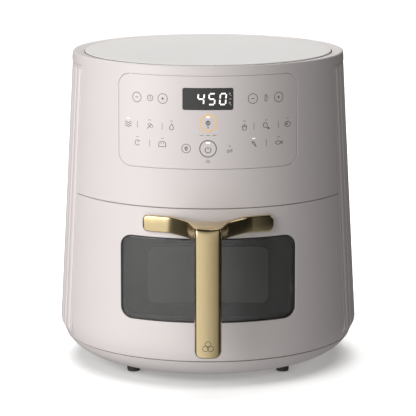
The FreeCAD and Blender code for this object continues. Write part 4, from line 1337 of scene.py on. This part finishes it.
    def bar(self, marker: Marker, x: float, z: float) -> None:
        """Adds the short indicator bar above a pictogram."""
        level = z + self.light_rise
        marker.stroke([((x - 1.5) * MM, level), ((x + 1.5) * MM, level)], 0.6 * MM)

    def lights(self) -> None:
        """Amber ring and the lit indicators."""
        amber = self.marker()
        amber.ring(0.0, self.ring_level, self.ring_size, 0.9 * MM)
        amber.shell.piece("amber_ring", "amber", "root", slot="panel")
        white = self.marker()
        for z in (self.ring_level + 5.6 * MM, self.start_level + 5.6 * MM):
            white.stroke([(-1.6 * MM, z - 0.25 * MM), (0.0, z), (1.6 * MM, z - 0.25 * MM)], 1.2 * MM)
        self.bar(white, self.lit_one, self.row_one)
        self.bar(white, self.lit_two, self.row_two)
        white.shell.piece("indicator_lights", "white_light", "root", slot="panel")


@dataclass
class FlutedSide:
    """Side panel of rounded reeds between narrow grooves."""

    start: float = math.radians(65.5)
    end: float = math.radians(113.0)
    count: int = 9
    groove: float = 2.1 * MM
    depth: float = 1.7 * MM
    crest: float = 0.45 * MM
    recess: float = 0.35 * MM
    thick: float = 4.0 * MM
    turn: float = 11 * MM
    edge: float = 0.7 * MM
    foot_rise: float = 3 * MM
    groove_stop: float = 5 * MM
    crest_fade: float = 9 * MM

    def build(self) -> None:
        """Builds the panel of each side."""
        for side, name in ((1, "right"), (-1, "left")):
            shell = Shell()
            self.panel(shell, side)
            self.heel(shell, side)
            shell.piece(f"fluted_side_{name}", "housing", "root", [f"side_panel_{name}"])

    def hollow(self, angle: float, z: float, top: float) -> float:
        """How far the surface lies under the crests.

        Args:
            angle: angle from the front about the axis.
            z: height.
            top: height of the panel's upper edge.

        Returns:
            The depth of the reed or the groove there.
        """
        pitch = (self.end - self.start) / self.count
        radius = FORM.profile(z)[0]
        off = abs((angle - self.start) % pitch - pitch / 2) * radius
        half = pitch * radius / 2
        bulge = self.crest * (1 - min(1.0, abs(half - off) / (half - self.groove)) ** 2)
        reach = top - self.groove_stop - z
        if reach < 0:
            off = math.hypot(off, reach)
        dip = self.depth * max(0.0, 1 - (off / self.groove) ** 2) ** 0.75
        fade = min(1.0, max(0.0, (top - z) / self.crest_fade))
        return max(dip, (self.crest - bulge) * fade)

    def rolled(self, distance: float) -> float:
        """Extra depth of the rolled edge.

        Args:
            distance: distance from the edge.

        Returns:
            The depth there.
        """
        if distance >= self.edge:
            return 0.0
        return self.edge - math.sqrt(self.edge ** 2 - (self.edge - distance) ** 2)

    def heel(self, shell: Shell, side: int) -> None:
        """Adds the smooth wall that the reeds end on.

        Args:
            shell: receives the surface.
            side: 1 for the right side, -1 for the left.
        """
        low = span("side_panel_right")[0].z
        ends = sorted((side * self.start * UNROLL, side * self.end * UNROLL))
        outline = Outline(ends[0], ends[1], low - 0.1 * MM, low + 8.5 * MM, 0.2 * MM, Side.ROUND)
        Sheet(FORM, outline, depth=0.3 * MM, thick=1.5 * MM, roll=0.3 * MM).build(shell)

    def panel(self, shell: Shell, side: int) -> None:
        """Adds one side's panel.

        Args:
            shell: receives the surface.
            side: 1 for the right side, -1 for the left.
        """
        low, high = span("side_panel_right")[0].z, span("side_panel_right")[1].z
        foot = low + self.foot_rise
        form = WallForm(FORM.rim_radius, FORM.top, foot, self.turn)
        ease = [0.0, 0.12 * MM, 0.35 * MM, 0.7 * MM]
        clear = 1.2 * MM / UNROLL
        inner = np.linspace(self.start, self.end, self.count * 16 + 1)[1:-1]
        angles = ([self.start + e / UNROLL for e in ease]
                  + [a for a in inner if self.start + clear < a < self.end - clear]
                  + [self.end - e / UNROLL for e in reversed(ease)])
        bend = [foot + self.turn * (1 - math.cos(t)) for t in np.linspace(0.0, math.pi / 2, 12)]
        heights = (bend + list(np.linspace(bend[-1], high - 8 * MM, 24))[1:]
                   + [high - d * MM for d in (7, 6.4, 5.8, 5.2, 4.6, 4.0, 3.4, 2.8, 2.2, 1.4)]
                   + [high - e for e in reversed(ease)])
        outer, back = [], []
        for z in heights:
            row = []
            for angle in angles:
                edge = min((angle - self.start) * UNROLL, (self.end - angle) * UNROLL, high - z)
                sunk = self.recess + self.hollow(angle, z, high) + self.rolled(edge)
                row.append(form.at(side * angle, z, sunk))
            outer.append(row)
            back.append([form.at(side * angle, z, self.thick) for angle in angles])
        shell.loft(outer, closed=False)
        shell.loft(back, closed=False)
        shell.loft([self.rim(outer), self.rim(back)])

    @staticmethod
    def rim(rows: Sequence[list[Vector]]) -> list[Vector]:
        """The points round the edge of a grid of rows."""
        return rows[0][:-1] + [r[-1] for r in rows[:-1]] + rows[-1][:0:-1] + [r[0] for r in rows[:0:-1]]


@dataclass
class Base:
    """Bowl that closes the body below, and its feet."""

    wall: float = 2.5 * MM
    lip: float = 0.5 * MM
    flatten: float = 0.86
    ledge_width: float = 13 * MM
    ledge_thick: float = 2 * MM
    foot_offset: float = 74 * MM
    foot_radius: float = 7 * MM

    def build(self) -> None:
        """Builds the bowl and the feet."""
        shell = Shell()
        low, high = span("base_shell")[0].z, span("base_shell")[1].z
        turn = FORM.turn
        outer = []
        for t in np.linspace(-math.pi / 2, math.asin((high - self.lip - low - turn) / turn), 18):
            z = low + turn * (1 + math.sin(t))
            outer.append((FORM.profile(z)[0], high - (high - z) * self.flatten))
        edge = FORM.profile(high)[0]
        shoulder = edge - self.ledge_width
        ledge = high + 0.1 * MM
        ledge_low = ledge - self.ledge_thick
        bowl_low = outer[0][1]
        inner_low = bowl_low + self.wall
        section = ([(0.0, bowl_low)] + outer
                   + [(edge - 0.1 * self.lip, high - 0.3 * self.lip), (edge - 0.6 * self.lip, ledge),
                      (shoulder, ledge), (shoulder, ledge_low), (edge - self.wall, ledge_low)]
                   + [(r - self.wall, z) for r, z in reversed(outer[3:]) if z > inner_low + MM]
                   + [(outer[0][0] - self.wall, inner_low), (0.0, inner_low)])
        lathe(shell, section, around=False)
        shell.piece("base_bowl", "housing", "root", ["base_shell"])
        self.feet(bowl_low)

    def feet(self, bowl_low: float) -> None:
        """Builds the four hollow feet.

        Args:
            bowl_low: height of the bowl's underside.
        """
        shell = Shell()
        radius, top, hollow = self.foot_radius, bowl_low + 2 * MM, 1.4 * MM
        section = rounded_path([(2.2 * MM, top, 0), (radius, top, 0), (radius - 0.9 * MM, 0.0, 0.8 * MM),
                                (4.6 * MM, 0.0, 0.5 * MM), (4.2 * MM, hollow, 0), (2.2 * MM, hollow, 0)], 5)
        back = span("feet")[1].y - 9 * MM
        for x in (-1, 1):
            for y in (-1, 1):
                lathe(shell, section, (x * self.foot_offset, y * back, 0), segments=40)
        shell.piece("rubber_feet", "rubber", "root", ["feet"])


# ---- drawer ----

@dataclass
class Drawer:
    """Drawer front with its bezel and smoked window."""

    half_angle: float = math.radians(64.8)
    wall: float = 2.5 * MM
    corner: float = 11 * MM
    border: float = 1.2 * MM
    play: float = 0.05 * MM

    def build(self) -> None:
        """Builds the front, the bezel and the glass."""
        low, high = span("window_bezel")
        window = Outline(low.x, high.x, low.z, high.z, self.corner).grown(self.play)
        self.front(window)
        shell = Shell()
        edge, opening = window.grown(-self.play), window.grown(-self.border)
        Sheet(FORM, edge, [opening], depth=0.1 * MM, thick=2.4 * MM, roll=0.25 * MM).build(shell)
        shell.piece("window_border", "black_plastic", "drawer", ["window_bezel"])
        shell = Shell()
        pane = window.grown(-self.border - 0.1 * MM)
        Sheet(FORM, pane, depth=0.35 * MM, thick=2.1 * MM, roll=0.15 * MM).build(shell)
        shell.piece("smoked_pane", "smoked_glass", "drawer", ["drawer_window"])
        self.trim()

    def trim(self) -> None:
        """Dark trim on the front of the basket's own window, deeper along its foot."""
        low, high = span("basket_window")
        back, front = low.y - 0.05 * MM, low.y - 0.85 * MM
        rows = []
        for side, foot, corner, y in ((0.0, 0.0, 9.0, back), (0.0, 0.0, 9.0, front),
                                      (1.5, 4.0, 7.6, front), (1.5, 4.0, 7.6, back)):
            left, right = low.x + side * MM, high.x - side * MM
            base, top = low.z + foot * MM, high.z - side * MM
            corners = ((left, base), (right, base), (right, top), (left, top))
            path = rounded_path([(x, z, corner * MM) for x, z in corners], 7)
            rows.append([Vector((x, y, z)) for x, z in path])
        shell = Shell()
        shell.loft(rows, around=True)
        shell.piece("basket_window_trim", "black_plastic", "drawer")

    def front(self, window: Outline) -> None:
        """Curved front with its top and bottom plates.

        Args:
            window: outline of the opening for the pane.
        """
        shell = Shell()
        low, high = span("drawer_front")[0].z, span("drawer_front")[1].z
        reach = self.half_angle * UNROLL
        edge = Outline(-reach, reach, low, high, 0.3 * MM, Side.ROUND)
        Sheet(FORM, edge, [window], thick=self.wall, roll=0.6 * MM).build(shell)
        back = span("drawer_back_panel")[1].y
        lift = Vector((0, 0, self.wall))
        for z0 in (low, high - self.wall):
            radius = FORM.profile(z0)[0] - 1.5 * MM
            limit = min(self.half_angle, math.acos(-back / radius))
            count = 60
            rows = []
            for k in range(count + 1):
                angle = limit * (2 * k / count - 1)
                far = Vector((radius * math.sin(angle), -radius * math.cos(angle), z0))
                near = Vector((far.x * 0.999, back, z0))
                rows.append([near, far, far + lift, near + lift])
            shell.loft(rows[1:-1], caps=True)
        shell.piece("drawer_shell", "housing", "drawer", ["drawer_front"])


@dataclass(frozen=True)
class Cut:
    """Line across the handle from its front edge back, on a top that slopes."""

    start: Vector
    along: Vector
    width: float
    fall: Callable[[Sequence[float], float], float]

    def spot(self, behind: float, z: float) -> Vector:
        """Point at a distance behind the front edge."""
        place = self.start + self.along * behind
        return Vector((place.x, place.y, z - self.fall(place, z)))

    def front_top(self, edge: float, top: float) -> list[Vector]:
        """The rounded upper front edge, from its top down."""
        return [self.spot(edge - edge * math.sin(t), top - edge + edge * math.cos(t)) for t in QUARTER]

    def back(self, radius: float, rise: float, top: float, low: float) -> list[Vector]:
        """The rounded back edges, from the bottom up.

        Args:
            radius: how far forward they reach.
            rise: how tall each is.
            top: height of the upper side.
            low: height of the lower side.

        Returns:
            Points of the lower edge, then of the upper.
        """
        inner = self.width - radius
        below = [self.spot(inner + radius * math.sin(t), low + rise - rise * math.cos(t)) for t in QUARTER]
        above = [self.spot(inner + radius * math.cos(t), top - rise + rise * math.sin(t)) for t in QUARTER]
        return below + above


@dataclass
class Handle:
    """Gold handle: two arms along the drawer front, a neck and an upright grip."""

    arm_height: float = 15 * MM
    arm_thick: float = 4.5 * MM
    leave: float = 43 * MM
    half_width: float = 12.2 * MM
    thick: float = 11 * MM
    neck_back: float = 34 * MM
    top_rise: float = 1 * MM
    slope: float = 1.6 * MM
    round: float = 1.6 * MM
    front_round: float = 3.0 * MM
    brow: float = 4.5 * MM
    fillet: float = 5.5 * MM
    end_corner: float = 5.0 * MM
    grip_corner: float = 6 * MM
    crown: float = 1.7 * MM
    turn: float = 2.4 * MM
    relief: float = 0.05 * MM
    end_roll: float = 2.0 * MM
    front_way: tuple[Point2, ...] = ((41.0, 0.005), (37.0, 0.038), (33.0, 0.105), (29.0, 0.2), (25.0, 0.31),
                                     (21.0, 0.44), (18.0, 0.58), (15.5, 0.78), (14.0, 0.92), (13.0, 1.0))
    back_way: tuple[Point2, ...] = ((38.5, 0.015), (34.5, 0.085), (30.5, 0.22), (26.5, 0.39), (19.0, 0.71),
                                    (11.0, 0.93), (4.0, 1.0))

    def build(self) -> None:
        """Builds the handle and its small engraved ornament."""
        shell = Shell()
        right = self.stations()
        left = [[Vector((-p.x, p.y, p.z)) for p in row] for row in reversed(right[:-1])]
        shell.loft(right + left, caps=True)
        shell.piece("handle_bar", "gold", "drawer", ["handle"], crease=50.0)
        self.ornament()

    def plan(self) -> tuple[list[Point2], list[Point2]]:
        """Plan of the right arm and the neck.

        Returns:
            Front and back edges, from the arm's end inwards.
        """
        low, high = span("handle")
        front, reach = low.y, high.x
        arm_low = high.z - self.arm_height
        inner = FORM.profile(arm_low)[0] + 0.1 * MM
        outer = inner + self.arm_thick
        ends = [0.0, 0.15, 0.5, 1.1, 2.0, 3.0, 3.6, 6.0, 10.0, 14.0]
        fronts = [self.on_circle(reach - d * MM, outer) for d in ends]
        backs = [self.on_circle(reach - d * MM, inner) for d in ends]
        sweep = self.leaving(outer, front + self.thick, self.front_way)
        under = self.leaving(inner, front + self.neck_back, self.back_way)
        return fronts + sweep, backs + under

    def leaving(self, radius: float, end: float, places: Sequence[Point2]) -> list[Point2]:
        """Curve that leaves the drawer front for the neck.

        Args:
            radius: radius that the arm follows before it leaves.
            end: y that the curve reaches.
            places: x in millimetres and share of the way out, point by point.

        Returns:
            Places along the curve.
        """
        points = [self.on_circle(self.leave + 2 * MM, radius)]
        for x, share in places:
            across, near = self.on_circle(x * MM, radius)
            points.append((across, near + share * (end - near)))
        return spline(points, 32)

    @staticmethod
    def on_circle(x: float, radius: float) -> Point2:
        """Place on the front of a circle at x."""
        return x, -math.sqrt(radius ** 2 - x ** 2)

    def stations(self) -> list[list[Vector]]:
        """Sections of the right half.

        Returns:
            Closed sections from the end of the arm to the middle of the grip.
        """
        low, high = span("handle")
        fronts, backs = self.plan()
        rows = []
        for front, back in zip(fronts, backs):
            inwards = fronts[0][0] - front[0]
            gone = max(0.0, self.end_corner - inwards)
            drop = self.end_corner - math.sqrt(max(0.0, self.end_corner ** 2 - gone ** 2))
            slim = max(0.0, 1.0 * MM - inwards) * 0.6
            top = high.z + self.top_rise - drop
            rows.append(self.arm_section(front, back, top, high.z - self.arm_height + drop, slim))
        rows.append(self.grip_section(fronts[-1], fronts[-1], backs[-1]))
        back_y = low.y + self.thick
        path = self.around_grip(low.y + self.relief, back_y)
        for k, spot in enumerate(path):
            share = 1 - (k + 1) / len(path)
            rear = ((self.half_width + 0.3 * MM) * share ** 0.8, back_y)
            rows.append(self.grip_section(spot, rear, (backs[-1][0] * share, backs[-1][1])))
        return rows

    def around_grip(self, front_y: float, back_y: float) -> list[Point2]:
        """Plan of the grip's right side and crowned front.

        Args:
            front_y: y of the crown.
            back_y: y of the grip's rear.

        Returns:
            Places from the neck round to the middle of the front.
        """
        half, turn = self.half_width, self.turn
        side = [(half + 0.5 * MM, back_y - 3.0 * MM), (half + 0.1 * MM, front_y + 6.6 * MM)]
        bend = [(half - turn + turn * math.cos(t), front_y + self.crown + turn - turn * math.sin(t))
                for t in np.linspace(0.0, math.pi / 2, 8)]
        bend = [(x, y - self.crown * (1 - (min(x, half) / half) ** 2)) for x, y in bend]
        face = [(x, front_y + self.crown * (x / half) ** 2) for x in np.linspace(half - turn, 0.0, 9)[1:]]
        return side + bend + face

    def out_share(self, place: Sequence[float]) -> float:
        """How far out a place lies.

        Args:
            place: its x and y.

        Returns:
            A share from 0 at the drawer to 1 at the grip's front.
        """
        front = span("handle")[0].y
        far = front + 2 * self.neck_back
        share = min(1.0, max(0.0, (far - place[1]) / (far - front)))
        return share * share * (3 - 2 * share)

    def sloped(self, place: Sequence[float], z: float) -> float:
        """How much the top falls towards the grip's front.

        Args:
            place: x and y of the place.
            z: its height before the fall.

        Returns:
            The fall there.
        """
        high = span("handle")[1]
        share = min(1.0, max(0.0, (z - high.z + 8 * MM) / (8 * MM)))
        return self.slope * self.out_share(place) * share

    def arm_section(self, front: Point2, back: Point2, top: float, low: float, slim: float) -> list[Vector]:
        """Rounded section of an arm.

        Args:
            front: place of its front edge.
            back: place of its back edge.
            top: height of its upper side.
            low: height of its lower side.
            slim: how much it is drawn in at the front and at the back.

        Returns:
            The section's points, as many as grip_section gives.
        """
        one, two = Vector(front), Vector(back)
        along = (two - one).normalized()
        one, two = one + along * slim, two - along * slim
        cut = Cut(one, along, (two - one).length, self.sloped)
        radius = min(self.round, cut.width * 0.42)
        rise = min(radius, (top - low) * 0.45)
        edge = radius + (self.front_round - radius) * self.out_share(front)
        waiting = [cut.spot(0.0, low + rise)] * (len(self.levels()) * 2)
        front_low = [cut.spot(radius - radius * math.cos(t), low + rise - rise * math.sin(t))
                     for t in QUARTER]
        return cut.front_top(edge, top) + waiting + front_low + cut.back(radius, rise, top, low)

    def levels(self) -> list[float]:
        """Heights of the grip's rows.

        Returns:
            Heights from under the fillet down to the grip's end.
        """
        low, high = span("handle")
        start = high.z - self.arm_height - self.fillet
        bend = [low.z + self.grip_corner * (1 - math.sin(t)) for t in np.linspace(0, math.pi / 2, 9)]
        return list(np.linspace(start, bend[0], 8))[:-1] + bend

    def shrunk(self, spot: Point2, z: float) -> Vector:
        """Place on the grip's section, drawn in at its rounded end.

        Args:
            spot: place on the full section.
            z: height.

        Returns:
            The point at that height.
        """
        low = span("handle")[0]
        middle = low.y + self.thick / 2
        corner = self.grip_corner
        over = max(0.0, low.z + corner - z)
        wide = 1 - (corner - math.sqrt(max(0.0, corner ** 2 - over ** 2))) / self.half_width
        roll = self.end_roll
        over = max(0.0, low.z + roll - z)
        deep = 1 - (roll - math.sqrt(max(0.0, roll ** 2 - over ** 2))) / (self.thick / 2)
        return Vector((spot[0] * wide, middle + (spot[1] - middle) * deep, z))

    def grip_section(self, front: Point2, rear: Point2, back: Point2) -> list[Vector]:
        """Section that runs down the grip's front, up its rear and under the neck.

        Args:
            front: place on the grip's front.
            rear: place on the grip's rear.
            back: place of the neck's back edge.

        Returns:
            The section's points, as many as arm_section gives.
        """
        high = span("handle")[1]
        low = high.z - self.arm_height
        one, two = Vector(front), Vector(back)
        cut = Cut(one, (two - one).normalized(), (two - one).length, self.sloped)
        radius = self.round
        top = high.z + self.top_rise
        edge = radius + (self.front_round - radius) * self.out_share(front)
        edge += self.brow * max(0.0, 1 - (front[0] / self.half_width) ** 2)
        rows = self.levels()
        down = [cut.spot(0.0, low + radius)] + [self.shrunk(front, z) for z in rows[1:]]
        up = [self.shrunk(rear, z) for z in reversed(rows)]
        base = Vector(rear)
        toward = (two - base).normalized()
        web = []
        for t in QUARTER:
            place = base + toward * self.fillet * (1 - math.cos(t))
            web.append(Vector((place.x, place.y, low - self.fillet + self.fillet * math.sin(t))))
        return cut.front_top(edge, top) + down + up + web + cut.back(radius, radius, top, low)

    def ornament(self) -> None:
        """Small plain rosette near the end of the grip."""
        low = span("handle")[0]

        def on_grip(x: float, z: float, lift: float) -> Vector:
            """Place on the grip's crowned front."""
            return Vector((x, low.y + self.relief + self.crown * (x / self.half_width) ** 2 - lift, z))

        marker = Marker(on_grip, lift=0.02 * MM, sink=0.25 * MM)
        centre = low.z + 11.5 * MM
        petal = 2.7 * MM
        for k in range(3):
            angle = math.radians(90 + 120 * k)
            x, z = petal * math.cos(angle), centre + petal * math.sin(angle)
            marker.stroke(arc(x, z, petal, 0, 360, 28), 0.55 * MM)
        marker.shell.piece("grip_ornament", "engraving", "drawer", slot="gold")


# ---- everything that the frame already shapes ----

class CarriedParts:
    """CAD nodes that keep their shape and get their finish."""

    def dress(self) -> None:
        """Gives every shown CAD node its finish by its slot."""
        for name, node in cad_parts.items():
            slot = node.data.materials[0].name.split(".")[0]
            node.data.materials.clear()
            node.data.materials.append(Palette.get(slot))
            LOG.info("dressed %s as %s", name, slot)


# ---- studio ----

@dataclass
class Studio:
    """Camera, floor and soft lights."""

    distance: float = 2.2
    eye: float = 0.578
    pitch: float = math.radians(11.0)
    lens: float = 190.9
    floor_radius: float = 9.0
    bright_side: tuple[float, float, float] = (-0.695, -0.719, 0.0)
    side_stops: tuple[Point2, ...] = ((0.0, 0.015), (0.25, 0.13), (0.45, 0.4), (0.68, 0.66), (0.85, 0.92),
                                      (1.0, 1.0))
    front_stops: tuple[Point2, ...] = ((0.0, 0.1), (0.16, 0.16), (0.42, 1.0), (1.0, 1.0))
    ground_stops: tuple[Point2, ...] = ((0.0, 0.0), (0.22, 0.0), (0.5, 0.2), (1.0, 0.3))

    def build(self) -> None:
        """Sets the camera, the floor and the lights."""
        bpy.context.scene.view_settings.view_transform = "Standard"
        self.camera()
        floor = self.floor()
        self.world()
        self.softbox("key_light", (-1.72, -1.38, 0.95), (1.7, 1.7), 3.35)
        self.softbox("side_light", (2.3, 0.25, 0.9), (1.0, 1.1), 1.5)
        self.softbox("top_light", (-0.3, 1.1, 2.0), (1.6, 1.3), 4.2)
        self.softbox("rear_light", (0.5, 2.6, 1.7), (1.8, 1.2), 1.3)
        self.floor_light(floor)

    def camera(self) -> None:
        """Camera at the eye's height, looking at the front."""
        data = bpy.data.cameras.new("camera")
        data.lens = self.lens
        data.sensor_width = 36.0
        camera = bpy.data.objects.new("camera", data)
        camera.location = (0.0, -self.distance, self.eye)
        camera.rotation_euler = (math.pi / 2 - self.pitch, 0.0, 0.0)
        bpy.context.scene.collection.objects.link(camera)
        bpy.context.scene.camera = camera

    def floor(self) -> bpy.types.Object:
        """Plain pale floor under the feet.

        Returns:
            The floor.
        """
        shell = Shell()
        count = 96
        angles = np.linspace(0, 2 * math.pi, count + 1)[:-1]
        rings = [[Vector((radius * math.cos(a), radius * math.sin(a), 0.0)) for a in angles]
                 for radius in (0.02, 1.0, self.floor_radius)]
        shell.loft(rings)
        shell.add(rings[0], [tuple(range(count))])
        net = Net("studio_floor")
        tone = net.blend(net.noise(3.0), (0.86, 0.86, 0.855), (0.88, 0.88, 0.875))
        mesh = bpy.data.meshes.new("floor")
        mesh.from_pydata([tuple(p) for p in shell.points], [], shell.faces)
        mesh.materials.append(net.surface(Base_Color=tone, Roughness=0.9, Specular_IOR_Level=0.1))
        floor = bpy.data.objects.new("floor", mesh)
        bpy.context.scene.collection.objects.link(floor)
        floor.visible_diffuse = False
        floor.visible_glossy = False
        return floor

    def world(self) -> None:
        """Soft surroundings, bright to the front left and dim to the right."""
        world = bpy.data.worlds.new("studio")
        bpy.context.scene.world = world
        net = WorldNet(world)
        place = net.node("ShaderNodeTexCoord").outputs["Generated"]
        shades = []
        for direction, stops in ((self.bright_side, self.side_stops), ((0.0, -1.0, 0.0), self.front_stops),
                                 ((0.0, 0.0, -1.0), self.ground_stops)):
            dot = net.node("ShaderNodeVectorMath", {"operation": "DOT_PRODUCT"}, {0: place, 1: direction})
            ramp = net.node("ShaderNodeValToRGB", {"stops": stops}, {0: dot.outputs["Value"]})
            shades.append(ramp.outputs[0])
        total = shades[0]
        for mode, shade in (("MULTIPLY", shades[1]), ("ADD", shades[2])):
            mix = net.node("ShaderNodeMix", {"data_type": "RGBA", "blend_type": mode},
                           {0: 1.0, 6: total, 7: shade})
            total = mix.outputs[2]
        ground = net.node("ShaderNodeBackground", None, {"Color": total})
        net.node("ShaderNodeOutputWorld", None, {"Surface": ground.outputs[0]})

    @staticmethod
    def softbox(name: str, place: Sequence[float], size: Point2, radiance: float) -> None:
        """Adds a rectangular soft light aimed at the object.

        Args:
            name: name of the light.
            place: where it stands.
            size: width and height.
            radiance: brightness of its face.
        """
        data = bpy.data.lights.new(name, "AREA")
        data.shape = "RECTANGLE"
        data.size, data.size_y = size
        data.energy = radiance * math.pi * size[0] * size[1]
        light = bpy.data.objects.new(name, data)
        light.location = place
        aim = Vector((0.0, 0.0, 0.16)) - Vector(place)
        light.rotation_euler = aim.to_track_quat("-Z", "Y").to_euler()
        light.visible_camera = False
        bpy.context.scene.collection.objects.link(light)

    @staticmethod
    def floor_light(floor: bpy.types.Object) -> None:
        """Adds overhead lights that only whiten the floor, one of them without shadows.

        Args:
            floor: the floor that they light.
        """
        only = bpy.data.collections.new("lit_by_floor_lights")
        only.objects.link(floor)
        for name, energy, shadow in (("floor_light", 1.7, True), ("floor_fill", 1.6, False)):
            data = bpy.data.lights.new(name, "SUN")
            data.energy = energy
            data.angle = math.radians(60)
            data.use_shadow = shadow
            light = bpy.data.objects.new(name, data)
            light.location = (0.0, 0.0, 3.0)
            light.light_linking.receiver_collection = only
            bpy.context.scene.collection.objects.link(light)


def main() -> None:
    """Builds the studio and every sub-assembly."""
    logging.basicConfig(level=logging.INFO, format="%(name)s: %(message)s")
    CarriedParts().dress()
    for part in (Studio(), Casing(), ControlPanel(), FlutedSide(), Base(), Drawer(), Handle()):
        part.build()
        LOG.info("built %s", type(part).__name__)


if __name__ == "__main__":
    main()
